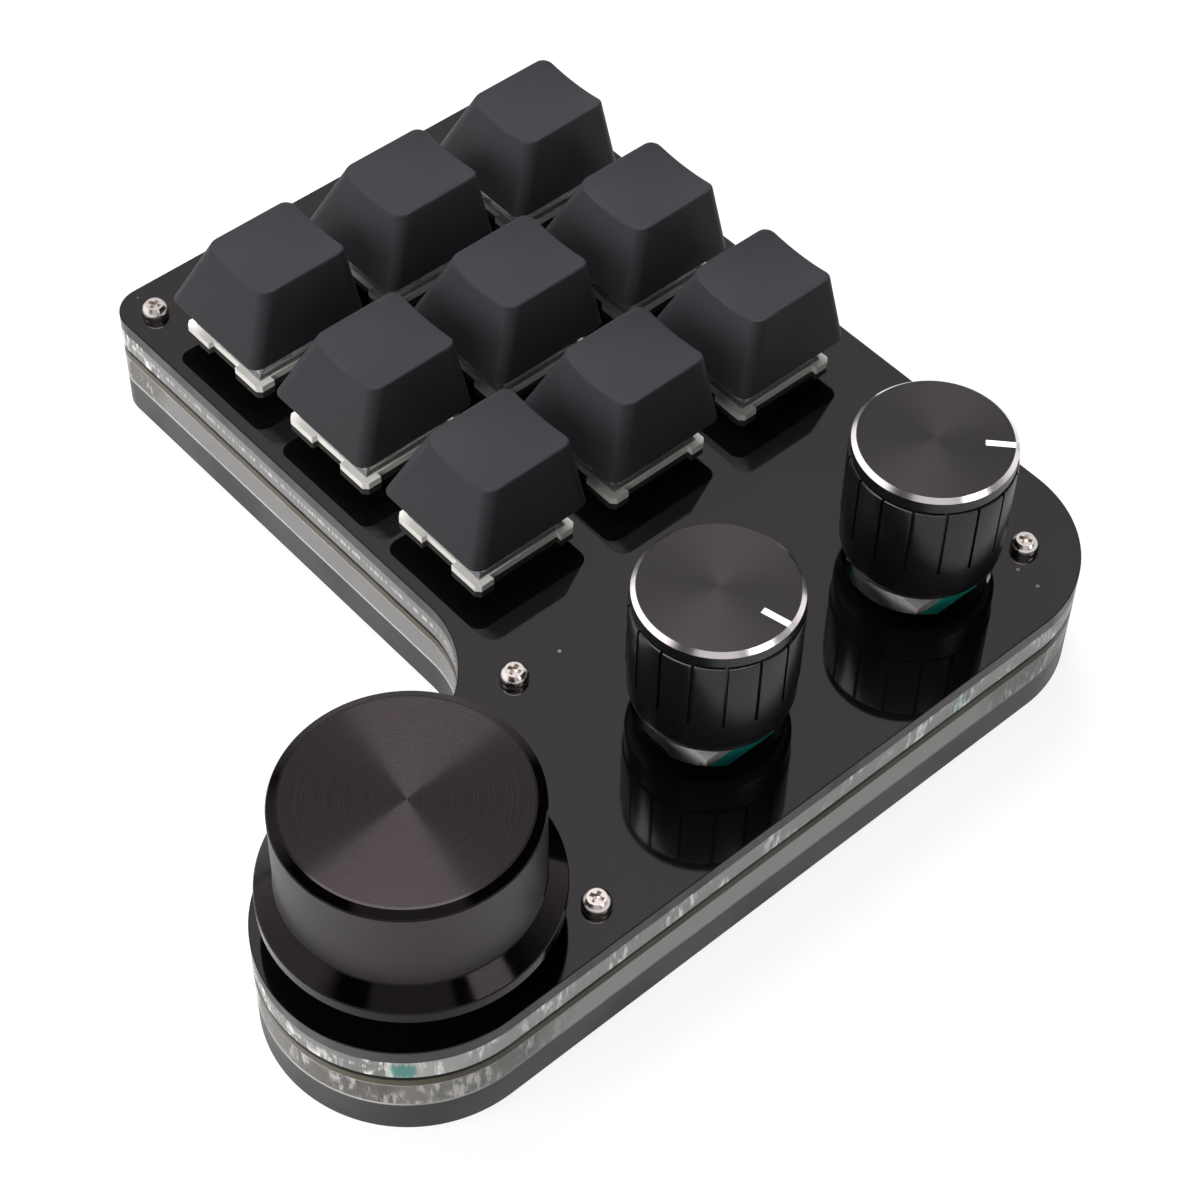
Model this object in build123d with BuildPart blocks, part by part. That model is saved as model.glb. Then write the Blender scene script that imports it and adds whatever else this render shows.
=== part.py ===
"""Macro keypad: nine keys, two small knobs and a large dial on an L-shaped stack of plates.

Millimetres. The origin is on the desk under the middle of the board, +X to the user's right,
+Y away from the user and +Z up.
"""

import os

from build123d import *

# Layout of the board, seen from above
key_pitch = 21.6
key_columns = 3
key_rows = 3
side_margin = 17.8
back_margin = 13.9
front_margin = 13.35
column_offset = 37.7
column_radius = 17.4
dial_reach = 42.0
end_reach = 0.75
near_knob_rise = 2.2
knob_spacing = 34.3
small_corner_radius = 4.4
inner_corner_radius = 15.0
round_corner_radius = 16.6

# Stack of plates, from the desk up
foot_height = 1.5
bottom_plate_thickness = 5.2
lower_spacer_thickness = 4.0
circuit_board_thickness = 1.6
upper_spacer_thickness = 3.0
top_plate_thickness = 2.0
spacer_wall = 5.5
spacer_boss_radius = 4.2

# Clearances
cut_overrun = 1.0
loose_clearance = 0.1
snug_clearance = 0.03
running_clearance = 0.03

# Plate screws, nuts and feet
screw_radius = 1.0
screw_head_radius = 1.75
screw_head_height = 1.7
screw_head_chamfer = 0.35
screw_recess_length = 2.1
screw_recess_width = 0.55
screw_recess_depth = 0.8
corner_screw_inset_x = 5.3
corner_screw_inset_y = 4.15
round_corner_screw_inset = 9.8
inner_screw_rise = 0.6
dial_screw_inset = 4.9
dial_screw_rise = 15.7
nut_across_flats = 4.0
nut_height = 1.6
nut_recess = 0.4
foot_radius = 4.5
foot_inset = 12.5

# Key switches
switch_cutout = 14.0
switch_taper_deg = 2.0
flange_size = 15.6
flange_height = 1.0
flange_corner = 0.6
flange_notch_depth = 0.8
front_notch_share = 0.36
side_notch_share = 0.68
switch_cavity = 11.4
switch_floor = 0.9
locating_post_radius = 2.0
locating_post_length = 3.3
housing_base = 13.6
housing_top_width = 9.4
housing_top_depth = 7.6
housing_height = 5.6
housing_wall = 0.9
housing_roof = 0.8
housing_mouth_width = 7.4
housing_mouth_depth = 6.1
contact_width = 1.0
contact_thickness = 0.25
contact_tail = 1.2
contact_gap_below_plate = 0.6
contact_spots_share = ((-0.273, 0.182), (0.182, 0.364))

# Switch stem and spring
stem_width = 6.6
stem_depth = 5.5
stem_lift = 0.8
stem_block_height = 6.0
stem_edge_chamfer = 0.4
cross_length = 4.0
cross_arm = 1.2
cross_height = 3.6
spring_pocket = 4.7
spring_pocket_depth = 1.5
spring_outer_radius = 2.15
spring_inner_radius = 1.75
spring_sides = 8

# Keycap
cap_gap_above_plate = 5.4
cap_base = 18.0
cap_base_corner = 1.7
cap_height = 8.7
cap_top_width = 12.15
cap_top_depth = 13.1
cap_top_corner = 1.5
cap_top_shift = 2.2
dish_depth = 0.75
dish_edge_margin = 0.35
cap_rim_chamfer = 0.3
cap_wall = 1.2
cap_roof = 1.0
cap_post_radius = 2.75

# Encoders
encoder_opening_radius = 9.2
encoder_width = 11.2
encoder_base_floor = 1.0
encoder_well_radius = 4.9
bracket_size = 12.0
bracket_sheet = 0.5
bracket_skirt = 1.4
bracket_leg_width = 9.6
lug_width = 2.0
lug_tail = 1.0
bush_radius = 3.5
bush_height = 4.5
bush_chamfer = 0.4
shaft_radius = 3.0
shaft_flat = 1.5
shaft_height = 15.0
shaft_flat_start = 6.0
shaft_chamfer = 0.4
rotor_radius = 4.4
rotor_thickness = 0.8
rotor_gap = 0.2
plunger_radius = 2.2
plunger_height = 1.7
encoder_pin_width = 0.8
encoder_pin_thickness = 0.4
encoder_pin_tail = 1.2
encoder_pin_pitch = 2.5
encoder_pin_offset = 4.9

# Small knobs
knob_gap = 1.7
knob_grip_radius = 10.0
knob_lower_radius = 9.85
knob_bottom_round = 3.0
knob_grip_start = 8.2
knob_shoulder = 18.6
knob_shoulder_chamfer = 0.3
knob_wall = 1.7
knob_web = 2.0
knob_hub_radius = 4.6
knob_hub_start = 5.6
knob_groove_count = 16
knob_groove_width = 0.55
knob_groove_depth = 0.5
spigot_radius = 8.8
spigot_height = 1.1
cap_ring_radius = 9.78
cap_ring_gap = 0.25
cap_ring_height = 2.1
cap_ring_chamfer = 0.58
pointer_start_radius = 5.75
pointer_width = 0.85
pointer_depth = 0.5
near_pointer_deg = 14.0
far_pointer_deg = 43.0

# Dial
dial_gap = 4.5
dial_foot_radius = 17.0
dial_foot_lip = 1.95
dial_foot_chamfer = 0.25
dial_wall_start = 8.6
dial_wall_radius = 14.7
dial_rim_height = 20.5
dial_rim_radius = 13.5
dial_top = 21.1
dial_recess_radius = 12.0
dial_recess_depth = 4.5
dial_hub_radius = 6.0
dial_hub_start = 5.4
dial_bore_depth_margin = 0.5
set_screw_radius = 1.5
set_screw_length = 4.0
set_screw_height = 13.0
set_screw_socket_radius = 0.85
set_screw_socket_depth = 1.5

# Cable socket and board components
socket_width = 8.94
socket_height = 3.2
socket_depth = 7.3
socket_wall = 0.3
socket_setback = 0.3
socket_corner_radius = 1.4
socket_back = 1.0
socket_tongue_width = 6.6
socket_tongue_thickness = 0.7
socket_tongue_length = 5.0
chip_size = 7.0
chip_height = 0.9
crystal_length = 3.2
crystal_width = 2.5
crystal_height = 0.8
diode_length = 2.7
diode_width = 1.6
diode_height = 1.1
diode_offset_share = -0.29
component_spot_share = 0.5

# Places that follow from the layout
key_span_x = (key_columns - 1) * key_pitch
key_span_y = (key_rows - 1) * key_pitch
board_width = side_margin + key_span_x + column_offset + column_radius
board_depth = back_margin + key_span_y + dial_reach + end_reach + column_radius
left = -board_width / 2
right = board_width / 2
front = -board_depth / 2
back = board_depth / 2
column_x = right - column_radius
end_y = front + column_radius
dial_y = end_y + end_reach
front_row_y = dial_y + dial_reach
block_front = front_row_y - front_margin
block_depth = back - block_front
first_column_x = left + side_margin
key_spots = [
    (first_column_x + column * key_pitch, front_row_y + row * key_pitch)
    for row in range(key_rows)
    for column in range(key_columns)
]
near_knob_spot = (column_x, front_row_y + near_knob_rise)
far_knob_spot = (column_x, front_row_y + near_knob_rise + knob_spacing)
dial_spot = (column_x, dial_y)
encoder_spots = [near_knob_spot, far_knob_spot, dial_spot]
inner_corner = (column_x - column_radius, block_front)
screw_spots = [
    (left + corner_screw_inset_x, block_front + corner_screw_inset_y),
    (left + corner_screw_inset_x, back - corner_screw_inset_y),
    (right - round_corner_screw_inset, back - round_corner_screw_inset),
    (inner_corner[0], inner_corner[1] + inner_screw_rise),
    (right - dial_screw_inset, dial_y + dial_screw_rise),
]
foot_spots = [
    (left + foot_inset, block_front + foot_inset),
    (left + foot_inset, back - foot_inset),
    (column_x, back - foot_inset),
    dial_spot,
]

# Heights that follow from the stack
bottom_plate_z = foot_height
lower_spacer_z = bottom_plate_z + bottom_plate_thickness
circuit_board_z = lower_spacer_z + lower_spacer_thickness
board_top = circuit_board_z + circuit_board_thickness
top_plate_z = board_top + upper_spacer_thickness
plate_top = top_plate_z + top_plate_thickness
switch_depth = plate_top - board_top
encoder_height = plate_top - board_top

os.makedirs("parts", exist_ok=True)


def keep(builder, name):
    """Labels a finished sub-part and writes its file."""
    builder.part.label = name
    export_step(builder.part, f"parts/{name}.step")


# Outline that all five layers share
with BuildSketch() as outline:
    with Locations((0, (back + block_front) / 2)):
        Rectangle(board_width, block_depth)
    with Locations((column_x, (block_front + end_y) / 2)):
        Rectangle(2 * column_radius, block_front - end_y)
    with Locations((column_x, end_y)):
        Circle(column_radius)
    for corner, radius in (
        (inner_corner, inner_corner_radius),
        ((left, block_front), small_corner_radius),
        ((left, back), small_corner_radius),
        ((right, back), round_corner_radius),
    ):
        fillet(outline.vertices().sort_by_distance(corner)[0], radius)


def screw_holes():
    """Cuts the clearance holes for the plate screws in the open sketch."""
    with Locations(*screw_spots):
        Circle(screw_radius + loose_clearance, mode=Mode.SUBTRACT)


def spacer_frame():
    """Draws a clear spacer in the open sketch: a frame with bosses round the screws."""
    add(outline.sketch)
    offset(outline.sketch, amount=-spacer_wall, mode=Mode.SUBTRACT)
    with Locations(*screw_spots):
        Circle(spacer_boss_radius)
    add(outline.sketch, mode=Mode.INTERSECT)
    screw_holes()


# Bottom plate, with hexagonal pockets for the nuts in its underside
nut_corner_radius = nut_across_flats / 3**0.5
pocket_corner_radius = (nut_across_flats + 2 * loose_clearance) / 3**0.5
with BuildPart() as bottom_plate:
    with BuildSketch(Plane.XY.offset(bottom_plate_z)):
        add(outline.sketch)
        screw_holes()
    extrude(amount=bottom_plate_thickness)
    with BuildSketch(Plane.XY.offset(bottom_plate_z)):
        with Locations(*screw_spots):
            RegularPolygon(pocket_corner_radius, 6)
    extrude(amount=nut_recess + nut_height, mode=Mode.SUBTRACT)
keep(bottom_plate, "bottom_plate")

# Lower clear spacer, open at the back edge for the cable socket
socket_x = first_column_x + key_pitch
socket_mouth_width = socket_width + 2 * loose_clearance
with BuildPart() as lower_spacer:
    with BuildSketch(Plane.XY.offset(lower_spacer_z)):
        spacer_frame()
        with Locations((socket_x, back)):
            Rectangle(socket_mouth_width, 2 * socket_depth, mode=Mode.SUBTRACT)
    extrude(amount=lower_spacer_thickness)
keep(lower_spacer, "lower_spacer")

# Circuit board, drilled for the switches, the encoders and the screws
contact_spots = [
    (x + contact_x_share * switch_cutout, y + contact_y_share * switch_cutout)
    for x, y in key_spots
    for contact_x_share, contact_y_share in contact_spots_share
]
encoder_pin_spots = [
    (x + encoder_pin_offset, y + step * encoder_pin_pitch)
    for x, y in encoder_spots
    for step in (-1, 0, 1)
] + [
    (x - encoder_pin_offset, y + side * encoder_pin_pitch)
    for x, y in encoder_spots
    for side in (-1, 1)
]
leg_y = (bracket_size - bracket_sheet) / 2
lug_spots = [(x, y + side * leg_y) for x, y in encoder_spots for side in (-1, 1)]
with BuildPart() as circuit_board:
    with BuildSketch(Plane.XY.offset(circuit_board_z)):
        add(outline.sketch)
        screw_holes()
        with Locations(*key_spots):
            Circle(locating_post_radius + loose_clearance, mode=Mode.SUBTRACT)
        with Locations(*contact_spots):
            Rectangle(
                contact_thickness + 2 * loose_clearance,
                contact_width + 2 * loose_clearance,
                mode=Mode.SUBTRACT,
            )
        with Locations(*encoder_pin_spots):
            Rectangle(
                encoder_pin_thickness + 2 * loose_clearance,
                encoder_pin_width + 2 * loose_clearance,
                mode=Mode.SUBTRACT,
            )
        with Locations(*lug_spots):
            Rectangle(
                lug_width + 2 * loose_clearance,
                bracket_sheet + 2 * loose_clearance,
                mode=Mode.SUBTRACT,
            )
    extrude(amount=circuit_board_thickness)
keep(circuit_board, "circuit_board")

# Upper clear spacer
with BuildPart() as upper_spacer:
    with BuildSketch(Plane.XY.offset(board_top)):
        spacer_frame()
    extrude(amount=upper_spacer_thickness)
keep(upper_spacer, "upper_spacer")

# Top plate, which carries the switches by their flanges
with BuildPart() as top_plate:
    with BuildSketch(Plane.XY.offset(top_plate_z)):
        add(outline.sketch)
        screw_holes()
        with Locations(*key_spots):
            Rectangle(switch_cutout, switch_cutout, mode=Mode.SUBTRACT)
        with Locations(*encoder_spots):
            Circle(encoder_opening_radius, mode=Mode.SUBTRACT)
    extrude(amount=top_plate_thickness)
keep(top_plate, "top_plate")

# Plate screws: a cross-recess head on the top plate, a shank down to the nut
nut_z = bottom_plate_z + nut_recess
with BuildPart() as screw_form:
    with BuildSketch(Plane.XY.offset(nut_z)):
        Circle(screw_radius)
    extrude(amount=plate_top - nut_z)
    with BuildSketch(Plane.XY.offset(plate_top)):
        Circle(screw_head_radius)
    extrude(amount=screw_head_height)
    chamfer(screw_form.edges().sort_by(Axis.Z)[-1], screw_head_chamfer)
    with BuildSketch(Plane.XY.offset(plate_top + screw_head_height)):
        Rectangle(screw_recess_length, screw_recess_width)
        Rectangle(screw_recess_width, screw_recess_length)
    extrude(amount=-screw_recess_depth, mode=Mode.SUBTRACT)
with BuildPart() as plate_screws:
    with Locations(*screw_spots):
        add(screw_form.part)
keep(plate_screws, "plate_screws")

# Nuts, seated against the roof of their pockets
with BuildPart() as plate_nuts:
    with BuildSketch(Plane.XY.offset(nut_z)):
        with Locations(*screw_spots):
            RegularPolygon(nut_corner_radius, 6)
            Circle(screw_radius + snug_clearance, mode=Mode.SUBTRACT)
    extrude(amount=nut_height)
keep(plate_nuts, "plate_nuts")

# Rubber feet
with BuildPart() as rubber_feet:
    with BuildSketch():
        with Locations(*foot_spots):
            Circle(foot_radius)
    extrude(amount=foot_height)
keep(rubber_feet, "rubber_feet")

# Lower halves of the switch housings: tapered body, notched flange, floor and locating post
switch_body = switch_cutout - 2 * loose_clearance
floor_top = board_top + switch_floor
flange_top = plate_top + flange_height
notch_centre = flange_size / 2
with BuildPart() as base_form:
    with BuildSketch(Plane.XY.offset(plate_top)):
        Rectangle(switch_body, switch_body)
    extrude(amount=-switch_depth, taper=switch_taper_deg)
    with BuildSketch(Plane.XY.offset(plate_top)) as flange:
        Rectangle(flange_size, flange_size)
        chamfer(flange.vertices(), flange_corner)
        with Locations((0, notch_centre), (0, -notch_centre)):
            Rectangle(front_notch_share * flange_size, 2 * flange_notch_depth, mode=Mode.SUBTRACT)
        with Locations((notch_centre, 0), (-notch_centre, 0)):
            Rectangle(2 * flange_notch_depth, side_notch_share * flange_size, mode=Mode.SUBTRACT)
    extrude(amount=flange_height)
    with BuildSketch(Plane.XY.offset(floor_top)):
        Rectangle(switch_cavity, switch_cavity)
    extrude(amount=flange_top - floor_top, mode=Mode.SUBTRACT)
    with BuildSketch(Plane.XY.offset(board_top)):
        Circle(locating_post_radius)
    extrude(amount=-locating_post_length)
    with BuildSketch(Plane.XY.offset(board_top)):
        for contact_x_share, contact_y_share in contact_spots_share:
            with Locations((contact_x_share * switch_cutout, contact_y_share * switch_cutout)):
                Rectangle(
                    contact_thickness + 2 * loose_clearance,
                    contact_width + 2 * loose_clearance,
                )
    extrude(amount=switch_floor, mode=Mode.SUBTRACT)
with BuildPart() as switch_bases:
    with Locations(*key_spots):
        add(base_form.part)
keep(switch_bases, "switch_bases")

# Upper halves of the switch housings: a thin hollow frustum with a mouth for the stem
housing_top = flange_top + housing_height
with BuildPart() as housing_form:
    with BuildSketch(Plane.XY.offset(flange_top)):
        Rectangle(housing_base, housing_base)
    with BuildSketch(Plane.XY.offset(housing_top)):
        Rectangle(housing_top_width, housing_top_depth)
    loft()
    with BuildSketch(Plane.XY.offset(flange_top)):
        Rectangle(housing_base - 2 * housing_wall, housing_base - 2 * housing_wall)
    with BuildSketch(Plane.XY.offset(housing_top - housing_roof)):
        Rectangle(housing_mouth_width, housing_mouth_depth)
    loft(mode=Mode.SUBTRACT)
    with BuildSketch(Plane.XY.offset(housing_top)):
        Rectangle(housing_mouth_width, housing_mouth_depth)
    extrude(amount=-2 * housing_roof, mode=Mode.SUBTRACT)
with BuildPart() as switch_tops:
    with Locations(*key_spots):
        add(housing_form.part)
keep(switch_tops, "switch_tops")

# Contact pins of the switches and the encoders
contact_bottom = circuit_board_z - contact_tail
with BuildPart() as contact_pins:
    with BuildSketch(Plane.XY.offset(contact_bottom)):
        with Locations(*contact_spots):
            Rectangle(contact_thickness, contact_width)
    extrude(amount=plate_top - contact_gap_below_plate - contact_bottom)
    with BuildSketch(Plane.XY.offset(circuit_board_z - encoder_pin_tail)):
        with Locations(*encoder_pin_spots):
            Rectangle(encoder_pin_thickness, encoder_pin_width)
    extrude(amount=circuit_board_thickness + encoder_pin_tail)
keep(contact_pins, "contact_pins")

# Switch stem: guided block with a spring pocket below and the cross on top
stem_bottom = plate_top + stem_lift
stem_top = stem_bottom + stem_block_height
cross_top = stem_top + cross_height
pocket_top = stem_bottom + spring_pocket_depth
with BuildPart() as stem_form:
    with BuildSketch(Plane.XY.offset(stem_bottom)):
        Rectangle(stem_width, stem_depth)
    extrude(amount=stem_block_height)
    chamfer(stem_form.edges().filter_by(Axis.Z), stem_edge_chamfer)
    with BuildSketch(Plane.XY.offset(stem_top)):
        Rectangle(cross_length, cross_arm)
        Rectangle(cross_arm, cross_length)
    extrude(amount=cross_height)
    with BuildSketch(Plane.XY.offset(stem_bottom)):
        Rectangle(spring_pocket, spring_pocket)
    extrude(amount=spring_pocket_depth, mode=Mode.SUBTRACT)

# Return spring, as an eight-sided sleeve between the housing floor and the stem's pocket
with BuildPart() as spring_form:
    with BuildSketch(Plane.XY.offset(floor_top)):
        RegularPolygon(spring_outer_radius, spring_sides)
        RegularPolygon(spring_inner_radius, spring_sides, mode=Mode.SUBTRACT)
    extrude(amount=pocket_top - loose_clearance - floor_top)

# Keycap: lofted shell with a dish across its top, a hollow and a post for the stem's cross
cap_bottom = plate_top + cap_gap_above_plate
cap_top = cap_bottom + cap_height
dish_half_width = cap_top_width / 2 + dish_edge_margin
dish_radius = (dish_half_width**2 + dish_depth**2) / (2 * dish_depth)
cavity_top = cap_top - dish_depth - cap_roof
post_bottom = stem_top + loose_clearance
with BuildPart() as cap_form:
    with BuildSketch(Plane.XY.offset(cap_bottom)):
        RectangleRounded(cap_base, cap_base, cap_base_corner)
    with BuildSketch(Plane((0, cap_top_shift, cap_top))):
        RectangleRounded(cap_top_width, cap_top_depth, cap_top_corner)
    loft()
    with BuildSketch(Plane.XZ):
        with Locations((0, cap_top - dish_depth + dish_radius)):
            Circle(dish_radius)
    extrude(amount=cap_base, both=True, mode=Mode.SUBTRACT)
    chamfer(cap_form.faces().sort_by(Axis.Z)[-1].edges(), cap_rim_chamfer)
    with BuildSketch(Plane.XY.offset(cap_bottom)):
        Rectangle(cap_base - 2 * cap_wall, cap_base - 2 * cap_wall)
    with BuildSketch(Plane((0, cap_top_shift, cavity_top))):
        Rectangle(cap_top_width - 2 * cap_wall, cap_top_depth - 2 * cap_wall)
    loft(mode=Mode.SUBTRACT)
    with BuildSketch(Plane.XY.offset(post_bottom)):
        Circle(cap_post_radius)
    extrude(amount=cavity_top - post_bottom)
    with BuildSketch(Plane.XY.offset(post_bottom)):
        Rectangle(cross_length + 2 * snug_clearance, cross_arm + 2 * snug_clearance)
        Rectangle(cross_arm + 2 * snug_clearance, cross_length + 2 * snug_clearance)
    extrude(amount=cross_top + loose_clearance - post_bottom, mode=Mode.SUBTRACT)

# One stem, spring and keycap for each key, counted from the front left, row by row
for number, spot in enumerate(key_spots, start=1):
    with BuildPart() as switch_stem:
        with Locations(spot):
            add(stem_form.part)
    keep(switch_stem, f"switch_stem_{number}")
    with BuildPart() as switch_spring:
        with Locations(spot):
            add(spring_form.part)
    keep(switch_spring, f"switch_spring_{number}")
    with BuildPart() as keycap:
        with Locations(spot):
            add(cap_form.part)
    keep(keycap, f"keycap_{number}")

# Encoder base: moulded block with a round well for the rotor and the plunger
sheet_bottom = plate_top - bracket_sheet
with BuildPart() as encoder_base_form:
    with BuildSketch(Plane.XY.offset(board_top)):
        Rectangle(encoder_width - 2 * loose_clearance, encoder_width - 2 * loose_clearance)
    extrude(amount=sheet_bottom - board_top)
    with BuildSketch(Plane.XY.offset(board_top + encoder_base_floor)):
        Circle(encoder_well_radius)
    extrude(amount=encoder_height, mode=Mode.SUBTRACT)

# Encoder bracket: pressed lid with two legs and lugs, and the bush that guides the shaft
bush_top = plate_top + bush_height
lug_bottom = circuit_board_z - lug_tail
with BuildPart() as bracket_form:
    with BuildSketch(Plane.XY.offset(plate_top)):
        Rectangle(bracket_size, bracket_size)
    extrude(amount=-bracket_skirt)
    with BuildSketch(Plane.XY.offset(plate_top - bracket_skirt)):
        Rectangle(encoder_width, encoder_width)
    extrude(amount=bracket_skirt - bracket_sheet, mode=Mode.SUBTRACT)
    with BuildSketch(Plane.XY.offset(board_top)):
        with Locations((0, leg_y), (0, -leg_y)):
            Rectangle(bracket_leg_width, bracket_sheet - 2 * loose_clearance)
    extrude(amount=plate_top - bracket_skirt - board_top)
    with BuildSketch(Plane.XY.offset(lug_bottom)):
        with Locations((0, leg_y), (0, -leg_y)):
            Rectangle(lug_width, bracket_sheet - 2 * loose_clearance)
    extrude(amount=board_top - lug_bottom)
    with BuildSketch(Plane.XY.offset(plate_top)):
        Circle(bush_radius)
    extrude(amount=bush_height)
    chamfer(bracket_form.edges().sort_by(Axis.Z)[-1], bush_chamfer)
    with BuildSketch(Plane.XY.offset(bush_top)):
        Circle(shaft_radius + running_clearance)
    extrude(amount=-(bush_height + 2 * bracket_sheet), mode=Mode.SUBTRACT)


def shaft_section(radius, flat):
    """Draws a shaft's round section with its flat towards +Y in the open sketch."""
    Circle(radius)
    with Locations((0, flat + radius)):
        Rectangle(2 * radius, 2 * radius, mode=Mode.SUBTRACT)


# Encoder shaft with its contact rotor
rotor_top = sheet_bottom - rotor_gap
shaft_bottom = rotor_top - rotor_thickness
shaft_top = plate_top + shaft_height
flat_z = plate_top + shaft_flat_start
with BuildPart() as shaft_form:
    with BuildSketch(Plane.XY.offset(shaft_bottom)):
        Circle(rotor_radius)
    extrude(amount=rotor_thickness)
    with BuildSketch(Plane.XY.offset(shaft_bottom)):
        Circle(shaft_radius)
    extrude(amount=flat_z - shaft_bottom)
    with BuildSketch(Plane.XY.offset(flat_z)):
        shaft_section(shaft_radius, shaft_flat)
    extrude(amount=shaft_top - flat_z)
    chamfer(shaft_form.faces().sort_by(Axis.Z)[-1].edges(), shaft_chamfer)

# Push plunger under the shaft
plunger_top = shaft_bottom - loose_clearance
with BuildPart() as plunger_form:
    with BuildSketch(Plane.XY.offset(plunger_top)):
        Circle(plunger_radius)
    extrude(amount=-plunger_height)
    chamfer(plunger_form.edges().sort_by(Axis.Z)[0], shaft_chamfer)

encoder_forms = {
    "encoder_base": encoder_base_form,
    "encoder_bracket": bracket_form,
    "encoder_shaft": shaft_form,
    "encoder_plunger": plunger_form,
}
for number, spot in enumerate(encoder_spots, start=1):
    for name, form in encoder_forms.items():
        with BuildPart() as encoder_piece:
            with Locations(spot):
                add(form.part)
        keep(encoder_piece, f"{name}_{number}")

# Small knob body: turned outline, hub under its web inside, grip grooves outside
knob_bottom = plate_top + knob_gap
grip_z = plate_top + knob_grip_start
shoulder_z = plate_top + knob_shoulder
spigot_top = shoulder_z + spigot_height
hub_z = plate_top + knob_hub_start
web_z = shoulder_z - knob_web
knob_inner_radius = knob_lower_radius - knob_wall
round_start_radius = knob_lower_radius - knob_bottom_round
round_end_z = knob_bottom + knob_bottom_round
bore_top = shaft_top + loose_clearance
with BuildPart() as knob_form:
    with BuildSketch(Plane.XZ):
        with BuildLine():
            Line((0, web_z), (knob_inner_radius, web_z))
            Line((knob_inner_radius, web_z), (knob_inner_radius, round_end_z))
            Line((knob_inner_radius, round_end_z), (round_start_radius, knob_bottom))
            RadiusArc(
                (round_start_radius, knob_bottom),
                (knob_lower_radius, round_end_z),
                -knob_bottom_round,
            )
            Polyline(
                (knob_lower_radius, round_end_z),
                (knob_lower_radius, grip_z),
                (knob_grip_radius, grip_z),
                (knob_grip_radius, shoulder_z - knob_shoulder_chamfer),
                (knob_grip_radius - knob_shoulder_chamfer, shoulder_z),
                (spigot_radius, shoulder_z),
                (spigot_radius, spigot_top),
                (0, spigot_top),
                (0, web_z),
            )
        make_face()
    revolve(axis=Axis.Z)
    with BuildSketch(Plane.XY.offset(hub_z)):
        Circle(knob_hub_radius)
    extrude(amount=web_z - hub_z)
    with BuildSketch(Plane.XY.offset(hub_z)):
        shaft_section(shaft_radius + snug_clearance, shaft_flat + snug_clearance)
    extrude(amount=bore_top - hub_z, mode=Mode.SUBTRACT)
    with BuildSketch(Plane.XY.offset(hub_z)):
        Circle(shaft_radius + snug_clearance)
    extrude(amount=flat_z + loose_clearance - hub_z, mode=Mode.SUBTRACT)
    with BuildSketch(Plane.XY.offset(grip_z)):
        with PolarLocations(knob_grip_radius, knob_groove_count):
            Rectangle(2 * knob_groove_depth, knob_groove_width)
    extrude(amount=shoulder_z - grip_z, mode=Mode.SUBTRACT)


# Metal cap of a small knob as a plain disc with its cut rim
cap_ring_bottom = shoulder_z + cap_ring_gap
cap_ring_z = cap_ring_bottom + cap_ring_height
with BuildPart() as cap_blank:
    with BuildSketch(Plane.XY.offset(cap_ring_bottom)):
        Circle(cap_ring_radius)
    extrude(amount=cap_ring_height)
    chamfer(cap_blank.edges().sort_by(Axis.Z)[-1], cap_ring_chamfer)


def pointer_slot(angle, clearance):
    """Draws the pointer's slot from its inner end out past the rim, in the open sketch."""
    length = cap_ring_radius - pointer_start_radius + cut_overrun
    with PolarLocations(pointer_start_radius + length / 2 - clearance / 2, 1, start_angle=angle):
        Rectangle(length + clearance, pointer_width + 2 * clearance)


# Knob bodies, their caps and the pointers let into the caps
for number, spot, angle in ((1, near_knob_spot, near_pointer_deg), (2, far_knob_spot, far_pointer_deg)):
    with BuildPart() as knob_body:
        with Locations(spot):
            add(knob_form.part)
    keep(knob_body, f"knob_body_{number}")
    with BuildPart() as cap_ring_form:
        add(cap_blank.part)
        with BuildSketch(Plane.XY.offset(shoulder_z)):
            Circle(spigot_radius + snug_clearance)
        extrude(amount=spigot_height, mode=Mode.SUBTRACT)
        with BuildSketch(Plane.XY.offset(cap_ring_z)):
            pointer_slot(angle, snug_clearance)
        extrude(amount=-pointer_depth, mode=Mode.SUBTRACT)
    with BuildPart() as knob_cap:
        with Locations(spot):
            add(cap_ring_form.part)
    keep(knob_cap, f"knob_cap_{number}")
    with BuildPart() as pointer_form:
        add(cap_blank.part)
        with BuildSketch(Plane.XY.offset(cap_ring_z)):
            pointer_slot(angle, 0)
        extrude(amount=-pointer_depth, mode=Mode.INTERSECT)
    with BuildPart() as knob_pointer:
        with Locations(spot):
            add(pointer_form.part)
    keep(knob_pointer, f"knob_pointer_{number}")

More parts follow.
